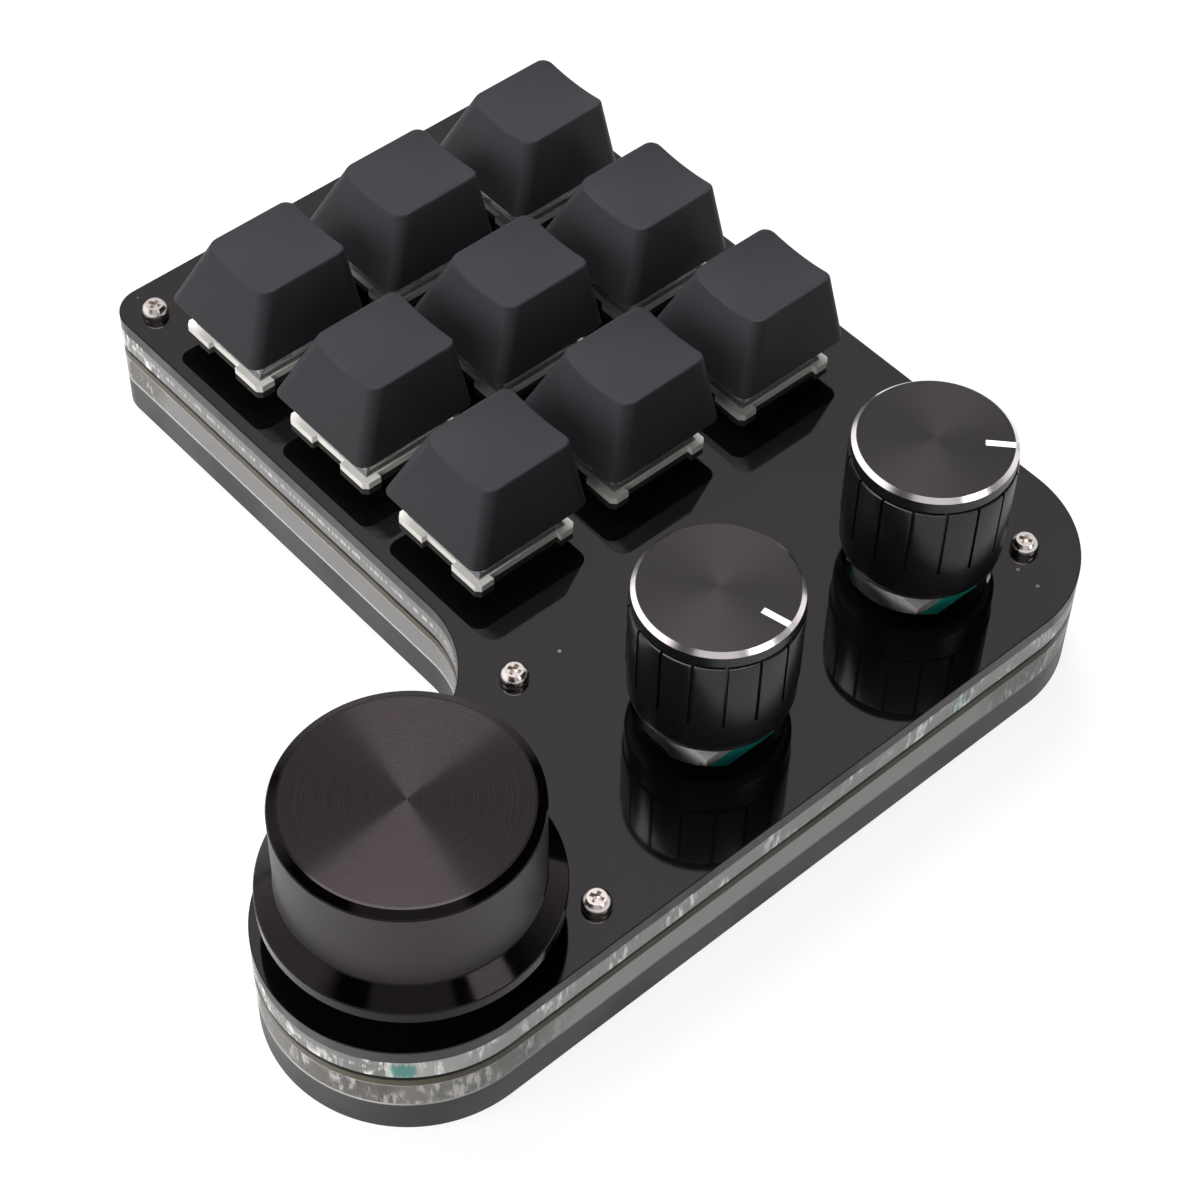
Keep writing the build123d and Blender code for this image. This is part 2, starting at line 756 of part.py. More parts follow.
# Dial: turned metal with a bevelled foot, a recess below, a bore and a set-screw hole at the back
dial_bottom = plate_top + dial_gap
dial_roof = plate_top + dial_top
recess_top = dial_bottom + dial_recess_depth
dial_hub_z = plate_top + dial_hub_start
set_screw_z = plate_top + set_screw_height
with BuildPart() as dial_form:
    with BuildSketch(Plane.XZ):
        with BuildLine():
            Polyline(
                (0, dial_hub_z),
                (dial_hub_radius, dial_hub_z),
                (dial_hub_radius, recess_top),
                (dial_recess_radius, recess_top),
                (dial_recess_radius, dial_bottom),
                (dial_foot_radius - dial_foot_chamfer, dial_bottom),
                (dial_foot_radius, dial_bottom + dial_foot_chamfer),
                (dial_foot_radius, dial_bottom + dial_foot_lip),
                (dial_wall_radius, plate_top + dial_wall_start),
                (dial_wall_radius, plate_top + dial_rim_height),
                (dial_rim_radius, dial_roof),
                (0, dial_roof),
                (0, dial_hub_z),
            )
        make_face()
    revolve(axis=Axis.Z)
    with BuildSketch(Plane.XY.offset(dial_hub_z)):
        Circle(shaft_radius + snug_clearance)
    extrude(amount=shaft_top + dial_bore_depth_margin - dial_hub_z, mode=Mode.SUBTRACT)
    with BuildSketch(Plane.XZ):
        with Locations((0, set_screw_z)):
            Circle(set_screw_radius + snug_clearance)
    extrude(amount=-(dial_wall_radius + cut_overrun), mode=Mode.SUBTRACT)
with BuildPart() as dial_knob:
    with Locations(dial_spot):
        add(dial_form.part)
keep(dial_knob, "dial_knob")

# Set screw, tight against the flat of the dial's shaft
set_screw_tip = shaft_flat + snug_clearance
with BuildPart() as set_screw_form:
    with BuildSketch(Plane.XZ.offset(-set_screw_tip)):
        with Locations((0, set_screw_z)):
            Circle(set_screw_radius)
    extrude(amount=-set_screw_length)
    with BuildSketch(Plane.XZ.offset(-(set_screw_tip + set_screw_length))):
        with Locations((0, set_screw_z)):
            RegularPolygon(set_screw_socket_radius, 6)
    extrude(amount=set_screw_socket_depth, mode=Mode.SUBTRACT)
with BuildPart() as dial_set_screw:
    with Locations(dial_spot):
        add(set_screw_form.part)
keep(dial_set_screw, "dial_set_screw")

# Cable socket under the circuit board, its mouth at the back edge
socket_face = back - socket_setback
socket_z = circuit_board_z - socket_height / 2
with BuildPart() as cable_socket:
    with BuildSketch(Plane(origin=(socket_x, socket_face, socket_z), x_dir=(1, 0, 0), z_dir=(0, -1, 0))):
        RectangleRounded(socket_width, socket_height, socket_corner_radius)
    extrude(amount=socket_depth)
    with BuildSketch(Plane(origin=(socket_x, socket_face, socket_z), x_dir=(1, 0, 0), z_dir=(0, -1, 0))):
        RectangleRounded(
            socket_width - 2 * socket_wall,
            socket_height - 2 * socket_wall,
            socket_corner_radius - socket_wall,
        )
    extrude(amount=socket_depth - socket_back, mode=Mode.SUBTRACT)
    with BuildSketch(
        Plane(origin=(socket_x, socket_face - socket_depth + socket_back, socket_z), x_dir=(1, 0, 0), z_dir=(0, 1, 0))
    ):
        Rectangle(socket_tongue_width, socket_tongue_thickness)
    extrude(amount=socket_tongue_length)
keep(cable_socket, "cable_socket")

# Components on the underside of the circuit board: controller, crystal and one diode for each key
chip_spot = (first_column_x + component_spot_share * key_pitch, front_row_y + component_spot_share * key_pitch)
crystal_spot = (chip_spot[0] + key_pitch, chip_spot[1])
diode_spots = [(x, y + diode_offset_share * key_pitch) for x, y in key_spots]
with BuildPart() as board_components:
    with BuildSketch(Plane.XY.offset(circuit_board_z)):
        with Locations(chip_spot):
            Rectangle(chip_size, chip_size)
    extrude(amount=-chip_height)
    with BuildSketch(Plane.XY.offset(circuit_board_z)):
        with Locations(crystal_spot):
            Rectangle(crystal_length, crystal_width)
    extrude(amount=-crystal_height)
    with BuildSketch(Plane.XY.offset(circuit_board_z)):
        with Locations(*diode_spots):
            Rectangle(diode_length, diode_width)
    extrude(amount=-diode_height)
keep(board_components, "board_components")
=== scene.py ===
"""Look of the macro keypad: its sheets, keys, knobs, dial and screws, modelled around the CAD frame."""

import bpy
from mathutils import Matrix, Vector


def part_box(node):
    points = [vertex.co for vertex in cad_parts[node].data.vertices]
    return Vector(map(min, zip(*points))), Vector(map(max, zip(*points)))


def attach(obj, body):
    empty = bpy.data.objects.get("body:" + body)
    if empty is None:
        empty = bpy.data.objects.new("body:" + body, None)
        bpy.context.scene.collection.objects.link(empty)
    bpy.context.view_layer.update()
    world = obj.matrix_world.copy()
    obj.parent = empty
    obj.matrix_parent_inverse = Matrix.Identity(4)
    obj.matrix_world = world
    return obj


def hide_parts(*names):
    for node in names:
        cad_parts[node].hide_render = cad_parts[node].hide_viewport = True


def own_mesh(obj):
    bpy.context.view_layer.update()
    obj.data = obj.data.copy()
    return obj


bl_info = {
    "name": "Macro keypad",
    "version": (1, 0, 0),
    "blender": (4, 5, 0),
    "location": "View3D > Sidebar > Keypad",
    "description": "Models and finishes an L-shaped macro keypad around its CAD frame",
    "category": "Object",
}

import math

import bmesh
import bpy
from mathutils import Matrix, Vector

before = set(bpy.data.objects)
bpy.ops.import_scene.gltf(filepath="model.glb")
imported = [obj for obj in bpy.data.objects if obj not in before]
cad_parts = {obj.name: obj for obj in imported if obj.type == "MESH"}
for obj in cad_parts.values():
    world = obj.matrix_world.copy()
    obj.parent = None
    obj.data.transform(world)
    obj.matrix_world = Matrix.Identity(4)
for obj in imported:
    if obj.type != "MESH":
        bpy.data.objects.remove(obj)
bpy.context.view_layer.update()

MM = 0.001
PLATE_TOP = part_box("top_plate")[1].z


# Properties

def length(name, description, millimetres):
    """A size that a user may change, given in millimetres and kept in metres."""
    return bpy.props.FloatProperty(
        name=name, description=description, default=millimetres * MM, min=0.0,
        unit="LENGTH", subtype="DISTANCE", precision=5,
    )


def colour(name, description, red, green, blue):
    """A colour that a user may change, in linear light."""
    return bpy.props.FloatVectorProperty(
        name=name, description=description, default=(red, green, blue), size=3,
        min=0.0, max=1.0, subtype="COLOR",
    )


def count(name, description, number):
    """A number of like features that a user may change."""
    return bpy.props.IntProperty(name=name, description=description, default=number, min=1)


class KeypadSheets(bpy.types.PropertyGroup):
    """Sizes of the stack of sheets."""

    small_corner: length("Small corner", "Radius of the two corners on the left", 4.4)
    inner_corner: length("Inner corner", "Radius of the hollow corner beside the dial", 15.0)
    round_corner: length("Round corner", "Radius of the corner behind the far knob", 16.6)
    column: length("Column", "Half the width of the column that carries the dial", 17.4)
    block_depth: length("Block depth", "Depth of the block of keys from its front edge to the back", 70.45)
    edge_bevel: length("Edge bevel", "Width of the broken edge on the sheets", 0.12)
    wall: length("Wall", "Width of the clear frames", 5.5)
    boss: length("Boss", "Radius of the clear frames round a screw", 4.2)
    corner_steps: count("Corner steps", "Steps in a rounded corner", 28)


class KeypadKeys(bpy.types.PropertyGroup):
    """Sizes of a keycap and of its spring."""

    height: length("Height", "Height of a keycap before its dish is cut", 8.7)
    top_width: length("Top width", "Width of the top", 12.15)
    top_depth: length("Top depth", "Depth of the top", 13.1)
    top_shift: length("Top shift", "How far the top lies behind the middle of the base", 2.2)
    corner: length("Corner", "Radius of the upright edges", 1.55)
    dish_depth: length("Dish depth", "Depth of the dish across the top", 0.75)
    rim: length("Rim", "Rounding of the top's rim", 0.28)
    wall: length("Wall", "Thickness of the sides", 1.2)
    roof: length("Roof", "Thickness under the dish", 1.0)
    wire: length("Spring wire", "Radius of the spring's wire", 0.15)
    turns: count("Spring turns", "Turns of the spring", 9)


class KeypadKnobs(bpy.types.PropertyGroup):
    """Sizes of the two small knobs."""

    grip: length("Grip", "Radius of the grooved grip", 10.0)
    lower: length("Lower part", "Radius below the grip", 9.85)
    bottom_round: length("Bottom round", "Rounding of the bottom edge", 3.0)
    grip_start: length("Grip start", "Height of the grip's foot above the top sheet", 8.2)
    shoulder: length("Shoulder", "Height of the shoulder above the top sheet", 18.6)
    wall: length("Wall", "Thickness of the body", 1.7)
    groove_width: length("Groove width", "Width of a grip groove", 0.36)
    groove_depth: length("Groove depth", "Depth of a grip groove", 0.5)
    rim: length("Cut rim", "Width of the bright cut rim", 0.54)
    pointer_start: length("Pointer start", "Radius where the pointer begins", 5.75)
    pointer_width: length("Pointer width", "Width of the pointer", 0.85)
    pointer_depth: length("Pointer depth", "Depth of the pointer's slot", 0.5)
    grooves: count("Grooves", "Grip grooves round the knob", 16)


class KeypadDial(bpy.types.PropertyGroup):
    """Sizes of the large dial, with heights above its underside."""

    lip: length("Lip", "Height of the foot's upright lip", 1.95)
    wall_start: length("Wall start", "Height where the foot's bevel meets the wall", 4.1)
    wall: length("Wall", "Radius of the wall", 14.7)
    rim_drop: length("Rim drop", "Height of the chamfer round the top", 0.6)
    rim: length("Rim", "Radius inside the chamfer", 13.5)
    recess: length("Recess", "Radius of the recess below", 12.0)
    recess_depth: length("Recess depth", "Depth of the recess below", 4.5)
    soft_edge: length("Soft edge", "Width of the broken edges", 0.14)


class KeypadFinish(bpy.types.PropertyGroup):
    """Colours of the finishes."""

    sheet: colour("Black sheet", "Polished top sheet", 0.0018, 0.0018, 0.002)
    sheet_edge: colour("Sheet edge", "Cut edge of the top sheet", 0.026, 0.023, 0.0225)
    clear: colour("Clear sheet", "Clear sheets at their cut edges", 0.95, 0.925, 0.9)
    base_sheet: colour("Bottom sheet", "Satin bottom sheet", 0.024, 0.0215, 0.0215)
    board_core: colour("Board core", "Cut edge of the circuit board", 0.11, 0.1, 0.075)
    keycap: colour("Keycap", "Moulded charcoal of the keycaps", 0.0165, 0.0167, 0.0193)
    switch_body: colour("Switch body", "Moulded lower halves of the switches", 0.82, 0.8, 0.75)
    stem: colour("Stem", "Moulded stems of the switches", 0.5, 0.015, 0.015)
    encoder: colour("Encoder", "Moulded bases of the encoders", 0.03, 0.8, 0.68)
    knob: colour("Knob", "Moulded bodies of the small knobs", 0.006, 0.006, 0.0062)
    knob_cap: colour("Knob cap", "Spun tops of the small knobs", 0.066, 0.0645, 0.066)
    bright_metal: colour("Bright metal", "Cut rims of the small knobs", 0.95, 0.94, 0.94)
    pointer: colour("Pointer", "Inserts that point", 0.85, 0.85, 0.83)
    dial: colour("Dial", "Anodised metal of the dial", 0.08, 0.071, 0.072)
    nickel: colour("Nickel", "Screws and plated sheet", 0.8, 0.77, 0.72)


# Selecting and shaping

KINDS = {"VERT": "verts", "EDGE": "edges", "FACE": "faces"}
CLOSE = 1e-6


def near(first, second):
    """Whether two numbers are the same but for rounding."""
    return abs(first - second) < CLOSE


def close():
    """Leaves edit mode, if a piece is open."""
    if bpy.context.mode != "OBJECT":
        bpy.ops.object.mode_set(mode="OBJECT")


def only(piece):
    """Selects one piece in object mode and makes it active."""
    close()
    bpy.ops.object.select_all(action="DESELECT")
    piece.select_set(True)
    bpy.context.view_layer.objects.active = piece


def edit(piece):
    """Opens one piece for editing."""
    only(piece)
    bpy.ops.object.mode_set(mode="EDIT")


def settle():
    """Moves the active piece's place, turn and scale into its mesh."""
    bpy.ops.object.transform_apply(location=True, rotation=True, scale=True)


def select_all():
    """Selects all of the open piece."""
    bpy.ops.mesh.select_all(action="SELECT")


def outwards():
    """Turns the faces of the open piece outwards and leaves edit mode."""
    select_all()
    bpy.ops.mesh.normals_make_consistent(inside=False)
    close()


def start(add, name, scale=(1, 1, 1), **settings):
    """Adds a primitive at its size and place, keeps its place in its mesh, and opens it for editing."""
    close()
    bpy.ops.object.select_all(action="DESELECT")
    add(**settings)
    piece = bpy.context.object
    piece.name = name
    piece.scale = scale
    settle()
    bpy.ops.object.mode_set(mode="EDIT")
    select_all()
    return piece


def block(name, size, centre, angle=0.0):
    """Starts a box that is turned about the upright."""
    return start(bpy.ops.mesh.primitive_cube_add, name, size, size=1, location=centre, rotation=(0, 0, angle))


def rod(name, radius, depth, centre, sides=64, rotation=(0, 0, 0)):
    """Starts a rod with a number of sides."""
    return start(
        bpy.ops.mesh.primitive_cylinder_add, name,
        vertices=sides, radius=radius, depth=depth, location=centre, rotation=rotation,
    )


def pick(kind, test):
    """Selects the vertices, edges or faces of the open piece that pass a test."""
    bpy.ops.mesh.select_mode(type=kind)
    bpy.ops.mesh.select_all(action="DESELECT")
    mesh = bpy.context.object.data
    work = bmesh.from_edit_mesh(mesh)
    found = [item for item in getattr(work, KINDS[kind]) if test(item)]
    for item in found:
        item.select_set(True)
    bmesh.update_edit_mesh(mesh)
    if not found:
        raise RuntimeError(f"{bpy.context.object.name}: nothing to select")


def facing(axis, side=1):
    """A test for faces that look along an axis, or against it."""
    return lambda face: side * face.normal[axis] > 0.9


def sloping(low, high=math.inf):
    """A test for faces whose normals rise by more than one limit and less than another."""
    return lambda face: low < face.normal.z < high


def bevel(width, steps, clamp=False):
    """Bevels the chosen edges of the open piece."""
    bpy.ops.mesh.bevel(
        offset=width, offset_type="OFFSET", segments=steps, affect="EDGES", clamp_overlap=clamp
    )


def extrude(move):
    """Extrudes the chosen faces of the open piece."""
    bpy.ops.mesh.extrude_region_move(TRANSFORM_OT_translate={"value": move})


def middle_of(node):
    """The middle of a CAD node's box."""
    low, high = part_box(node)
    return (low + high) / 2


def heights(node):
    """The lowest and highest points of a CAD node."""
    low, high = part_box(node)
    return low.z, high.z


def turn(name, centre, profile, segments):
    """Turns a profile of (radius, height) pairs about an upright line, as a circle extruded ring by ring."""
    (radius, height), *rest = profile
    piece = start(
        bpy.ops.mesh.primitive_circle_add, name,
        vertices=segments, radius=radius, location=(centre.x, centre.y, height),
    )
    for next_radius, next_height in rest:
        bpy.ops.mesh.extrude_edges_move(TRANSFORM_OT_translate={"value": (0, 0, next_height - height)})
        share = next_radius / radius
        bpy.ops.transform.resize(value=(share, share, 1), center_override=(centre.x, centre.y, next_height))
        radius, height = next_radius, next_height
    select_all()
    bpy.ops.mesh.fill_holes(sides=0)
    outwards()
    return piece


def soften(profile, width):
    """Breaks the corners inside a profile, so that each edge catches the light."""
    points = [Vector(point) for point in profile]
    softened = [points[0]]
    for before, corner, after in zip(points, points[1:], points[2:]):
        for other in (before, after):
            run = other - corner
            softened.append(corner + run.normalized() * min(width, run.length / 3))
    softened.append(points[-1])
    return [tuple(point) for point in softened]


def quarter(radius, across, height, first, step):
    """The (radius, height) pairs of a rounded bottom edge, from an angle in degrees to upright."""
    angles = [math.radians(degrees) for degrees in range(first, 91, step)]
    return [(across + radius * math.sin(angle), height - radius * math.cos(angle)) for angle in angles]


def cut(piece, tool, operation="DIFFERENCE"):
    """Cuts a tool away from a piece, or joins it, by a boolean modifier that is applied."""
    only(piece)
    modifier = piece.modifiers.new("cut", "BOOLEAN")
    modifier.operation = operation
    modifier.solver = "EXACT"
    modifier.object = tool
    bpy.ops.object.modifier_apply(modifier=modifier.name)
    bpy.data.objects.remove(tool)


def join(pieces, name):
    """Makes one piece of one or several."""
    joined = pieces[0]
    only(joined)
    if len(pieces) > 1:
        for piece in pieces:
            piece.select_set(True)
        bpy.ops.object.join()
    joined.name = name
    return joined


def copy_piece(piece, name, offset=(0, 0, 0)):
    """Copies a piece with its own mesh to another place."""
    only(piece)
    bpy.ops.object.duplicate(linked=False)
    twin = bpy.context.object
    twin.name = name
    twin.location = twin.location + Vector(offset)
    settle()
    return twin


def with_copies(piece, name, spots):
    """A piece that stands at the first of several spots, and a numbered copy of it at each of the others."""
    first, *others = spots
    return [piece] + [
        copy_piece(piece, f"{name}_{number}", spot - first) for number, spot in enumerate(others, start=2)
    ]


def bars(name, spots, size, height, depth):
    """Joined tools for holes, one at each spot: size is a radius or a (width, depth) pair."""
    tools = []
    for spot in spots:
        place = (spot.x, spot.y, height + depth / 2)
        square = isinstance(size, tuple)
        tools.append(block(name, (*size, depth), place) if square else rod(name, size, depth, place))
    return join(tools, name)


def coat(piece, material, test=None):
    """Gives a piece a finish, or gives it to those of its faces that pass a test."""
    if test is None:
        piece.data.materials.clear()
        piece.data.materials.append(material)
        return
    piece.data.materials.append(material)
    edit(piece)
    pick("FACE", test)
    piece.active_material_index = len(piece.data.materials) - 1
    bpy.ops.object.material_slot_assign()
    close()


def hand_over(piece, body, slot, *nodes, angle=30):
    """Smooths a finished piece, sets the body it rides on and hides the CAD nodes it stands for; its slot is
    not used.
    """
    only(piece)
    settle()
    bpy.ops.object.shade_smooth_by_angle(angle=math.radians(angle))
    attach(piece, body)
    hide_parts(*nodes)


def dress(material, *nodes):
    """Gives CAD nodes a finish."""
    for node in nodes:
        for material_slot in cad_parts[node].material_slots:
            material_slot.material = material


# Nodes

def math_node(tree, operation, first, second=None, third=None):
    """Adds a sum to a node tree: each term is a socket or a number."""
    node = tree.nodes.new("ShaderNodeMath")
    node.operation = operation
    for index, term in enumerate((first, second, third)):
        if isinstance(term, bpy.types.NodeSocket):
            tree.links.new(term, node.inputs[index])
        elif term is not None:
            node.inputs[index].default_value = term
    return node.outputs[0]


def times(tree, first, *others):
    """Adds the product of several terms."""
    for term in others:
        first = math_node(tree, "MULTIPLY", first, term)
    return first


def largest(tree, first, *others):
    """Adds the largest of several terms."""
    for term in others:
        first = math_node(tree, "MAXIMUM", first, term)
    return first


def off(tree, value, middle):
    """Adds how far a value lies from a middle one, either way."""
    return math_node(tree, "ABSOLUTE", math_node(tree, "SUBTRACT", value, middle))


def spread(tree, value, low, high, new_low=0.0, new_high=1.0):
    """Maps a range of a value smoothly to another range."""
    node = tree.nodes.new("ShaderNodeMapRange")
    node.interpolation_type = "SMOOTHSTEP"
    tree.links.new(value, node.inputs["Value"])
    for socket, number in (("From Min", low), ("From Max", high), ("To Min", new_low), ("To Max", new_high)):
        node.inputs[socket].default_value = number
    return node.outputs["Result"]


def fade(tree, value, low, high):
    """Maps a range of a value smoothly from one down to nothing."""
    return spread(tree, value, low, high, 1.0, 0.0)


def vector_node(tree, operation, vector, other=(0, 0, 0)):
    """Adds a sum of a vector and a plain one."""
    node = tree.nodes.new("ShaderNodeVectorMath")
    node.operation = operation
    node.inputs[1].default_value = other
    tree.links.new(vector, node.inputs[0])
    return node.outputs["Vector" if operation in ("ADD", "MULTIPLY") else "Value"]


def noise(tree, vector, scale, detail=2.0, rough=0.5):
    """Adds noise at a place, with a scale that is a socket."""
    node = tree.nodes.new("ShaderNodeTexNoise")
    tree.links.new(vector, node.inputs["Vector"])
    tree.links.new(scale, node.inputs["Scale"])
    node.inputs["Detail"].default_value = detail
    node.inputs["Roughness"].default_value = rough
    return node.outputs["Fac"]


def blend(tree, share, first, second):
    """Adds a mix of two shaders."""
    node = tree.nodes.new("ShaderNodeMixShader")
    for index, socket in enumerate((share, first.outputs[0], second.outputs[0])):
        tree.links.new(socket, node.inputs[index])
    return node


# Effects that several finishes share

def new_group(name, scale, outputs, share=None):
    """Starts a shader node group that reads a place and a scale, and a share where one is given."""
    group = bpy.data.node_groups.new(name, "ShaderNodeTree")
    group.interface.new_socket(name="Place", in_out="INPUT", socket_type="NodeSocketVector")
    for socket, default in (("Scale", scale), ("Share", share)):
        if default is not None:
            made = group.interface.new_socket(name=socket, in_out="INPUT", socket_type="NodeSocketFloat")
            made.default_value = default
    for socket in outputs:
        group.interface.new_socket(name=socket, in_out="OUTPUT", socket_type="NodeSocketFloat")
    return group, group.nodes.new("NodeGroupInput").outputs, group.nodes.new("NodeGroupOutput").inputs


def make_grain():
    """Fine moulded or ground grain, with slow patches of tone."""
    group, given, result = new_group("fine grain", 2500.0, ["Height", "Tone"])
    fine = noise(group, given["Place"], given["Scale"], 3.0, 0.6)
    slow = noise(group, given["Place"], times(group, given["Scale"], 0.03), 3.0)
    group.links.new(fine, result["Height"])
    group.links.new(spread(group, slow, 0.3, 0.7), result["Tone"])
    return group


def make_specks():
    """Scattered specks of dust."""
    group, given, result = new_group("dust specks", 500.0, ["Mask"], 0.05)
    cells = group.nodes.new("ShaderNodeTexVoronoi")
    group.links.new(given["Place"], cells.inputs["Vector"])
    group.links.new(given["Scale"], cells.inputs["Scale"])
    parts = group.nodes.new("ShaderNodeSeparateColor")
    group.links.new(cells.outputs["Color"], parts.inputs["Color"])
    chosen = math_node(group, "LESS_THAN", parts.outputs["Red"], given["Share"])
    size = math_node(group, "MULTIPLY_ADD", parts.outputs["Green"], 0.06, 0.03)
    small = math_node(group, "LESS_THAN", cells.outputs["Distance"], size)
    group.links.new(times(group, chosen, small), result["Mask"])
    return group


def make_rings():
    """Fine turning marks round an upright axis."""
    group, given, result = new_group("turning marks", 6000.0, ["Height", "Tone"])
    reach = vector_node(group, "LENGTH", vector_node(group, "MULTIPLY", given["Place"], (1, 1, 0)))
    for output, share, low, high in (("Height", 1.0, 0.0, 1.0), ("Tone", 0.3, 0.35, 0.65)):
        marks = group.nodes.new("ShaderNodeTexNoise")
        marks.noise_dimensions = "1D"
        group.links.new(times(group, reach, given["Scale"], share), marks.inputs["W"])
        marks.inputs["Scale"].default_value = 1.0
        marks.inputs["Detail"].default_value = 2.0
        group.links.new(spread(group, marks.outputs["Fac"], low, high), result[output])
    return group


def make_streaks():
    """Upright streaks that a laser leaves on a cut edge, and a mask for painted patches of light on it."""
    group, given, result = new_group("cut-edge streaks", 900.0, ["Height", "Tone", "Patch"])
    place, scale = given["Place"], given["Scale"]
    squeezed = vector_node(group, "MULTIPLY", place, (1, 1, 0.06))
    slow = noise(group, squeezed, times(group, scale, 0.12), 2.0)
    group.links.new(noise(group, squeezed, scale, 4.0, 0.65), result["Height"])
    group.links.new(spread(group, slow, 0.42, 0.68), result["Tone"])
    lean = group.nodes.new("ShaderNodeMapping")
    lean.inputs["Rotation"].default_value = (0.2, 0.2, 0)
    lean.inputs["Scale"].default_value = (1, 1, 0.25)
    group.links.new(place, lean.inputs["Vector"])
    bar = noise(group, lean.outputs["Vector"], times(group, scale, 1.1), 5.0, 0.65)
    cluster = noise(group, place, times(group, scale, 0.2), 1.0)
    patch = times(group, spread(group, bar, 0.46, 0.62), spread(group, cluster, 0.44, 0.6))
    group.links.new(patch, result["Patch"])
    return group


GROUPS = {"grain": make_grain, "specks": make_specks, "rings": make_rings, "streaks": make_streaks}
made_groups = {}


# Finishes

MIX_FIRST, MIX_SECOND, MIX_RESULT = 6, 7, 2
DUST = (0.3, 0.3, 0.3)


class Finish:
    """A material in the making: constants go on its shader, effects are linked to it."""

    def __init__(self, name, base, roughness, **constants):
        self.material = bpy.data.materials.new(name)
        self.material.use_nodes = True
        self.tree = self.material.node_tree
        self.shader = self.tree.nodes["Principled BSDF"]
        self.set("Base Color", (*base, 1))
        self.set("Roughness", roughness)
        for socket, value in constants.items():
            self.set(socket.replace("_", " "), value)
        self.base = tuple(base)
        self.place = self.tree.nodes.new("ShaderNodeTexCoord").outputs["Object"]

    def set(self, socket, value):
        """Sets a constant of the shader."""
        self.shader.inputs[socket].default_value = value

    def centre(self, point):
        """Reads the pattern from a point of the piece."""
        mapping = self.tree.nodes.new("ShaderNodeMapping")
        mapping.inputs["Location"].default_value = (-point.x, -point.y, -point.z)
        self.tree.links.new(self.place, mapping.inputs["Vector"])
        self.place = mapping.outputs["Vector"]
        return self

    def effect(self, kind, **values):
        """Places a shared effect and gives its outputs."""
        if kind not in made_groups:
            made_groups[kind] = GROUPS[kind]()
        node = self.tree.nodes.new("ShaderNodeGroup")
        node.node_tree = made_groups[kind]
        self.tree.links.new(self.place, node.inputs["Place"])
        for socket, value in values.items():
            node.inputs[socket].default_value = value
        return node.outputs

    def surface(self, kind, scale, low, high, depth=None):
        """Places an effect that varies the roughness between two limits, and may raise the surface."""
        outputs = self.effect(kind, Scale=scale)
        self.vary("Roughness", outputs["Tone"], low, high)
        if depth is not None:
            self.bump(outputs["Height"], depth)
        return outputs

    def axes(self):
        """The three coordinates of the pattern's place."""
        node = self.tree.nodes.new("ShaderNodeSeparateXYZ")
        self.tree.links.new(self.place, node.inputs["Vector"])
        return node.outputs

    def vary(self, socket, value, low, high):
        """Varies a socket between two limits."""
        self.tree.links.new(spread(self.tree, value, 0.0, 1.0, low, high), self.shader.inputs[socket])
        return self

    def mix(self, socket, mask, first, second):
        """Mixes a second colour into what a socket has, by a mask."""
        node = self.tree.nodes.new("ShaderNodeMix")
        node.data_type = "RGBA"
        self.tree.links.new(mask, node.inputs[0])
        linked = self.shader.inputs[socket].links
        if linked:
            self.tree.links.new(linked[0].from_socket, node.inputs[MIX_FIRST])
        else:
            node.inputs[MIX_FIRST].default_value = (*first, 1)
        node.inputs[MIX_SECOND].default_value = (*second, 1)
        self.tree.links.new(node.outputs[MIX_RESULT], self.shader.inputs[socket])
        return self

    def tint(self, mask, other):
        """Mixes another colour in by a mask."""
        return self.mix("Base Color", mask, self.base, other)

    def glow(self, mask, other):
        """Paints a glow by a mask: the surface gives off light though it is no lamp."""
        self.set("Emission Strength", 1.0)
        return self.mix("Emission Color", mask, (0, 0, 0), other)

    def bump(self, height, depth):
        """Raises the surface by a height, to a depth in millimetres."""
        node = self.tree.nodes.new("ShaderNodeBump")
        node.inputs["Strength"].default_value = 1.0
        node.inputs["Distance"].default_value = depth * MM
        self.tree.links.new(height, node.inputs["Height"])
        self.tree.links.new(node.outputs["Normal"], self.shader.inputs["Normal"])

    def brushed_round(self, anisotropy):
        """Stretches highlights across turning marks."""
        self.set("Anisotropic", anisotropy)
        self.set("Anisotropic Rotation", 0.25)
        tangent = self.tree.nodes.new("ShaderNodeTangent")
        tangent.direction_type = "RADIAL"
        tangent.axis = "Z"
        self.tree.links.new(tangent.outputs["Tangent"], self.shader.inputs["Tangent"])


def scaled(base, share):
    """A colour made lighter or darker."""
    return tuple(min(part * share, 1.0) for part in base)


def moulded(name, base, low, high, scale=2600.0, depth=0.012, **constants):
    """Moulded plastic with fine grain and a little dust, rough between low and high."""
    finish = Finish(name, base, high, **constants)
    grain = finish.surface("grain", scale, low, high, depth)
    specks = finish.effect("specks", Scale=420.0, Share=0.03)
    finish.tint(grain["Tone"], scaled(base, 1.12)).tint(specks["Mask"], DUST)
    return finish.material


def plated(name, base, low, high):
    """Plated or bare metal with fine rubbing marks, rough between low and high."""
    finish = Finish(name, base, high, Metallic=1.0)
    grain = finish.surface("grain", 1800.0, low, high, 0.003)
    finish.tint(grain["Tone"], scaled(base, 0.82))
    return finish.material


def turned(name, base, centre, low, high, anisotropy, depth, scale):
    """Turned metal with marks round its axis, rough between low and high."""
    finish = Finish(name, base, high, Metallic=1.0).centre(centre)
    rings = finish.surface("rings", scale, low, high, depth)
    finish.tint(rings["Tone"], scaled(base, 0.93)).brushed_round(anisotropy)
    return finish.material


def streaked(name, base, roughness, low, high, scale, other, depth=None):
    """Cut edge of a sheet, rough between low and high, with a second colour in its streaks."""
    finish = Finish(name, base, roughness)
    streaks = finish.surface("streaks", scale, low, high, depth)
    finish.tint(streaks["Tone"], other)
    return finish.material


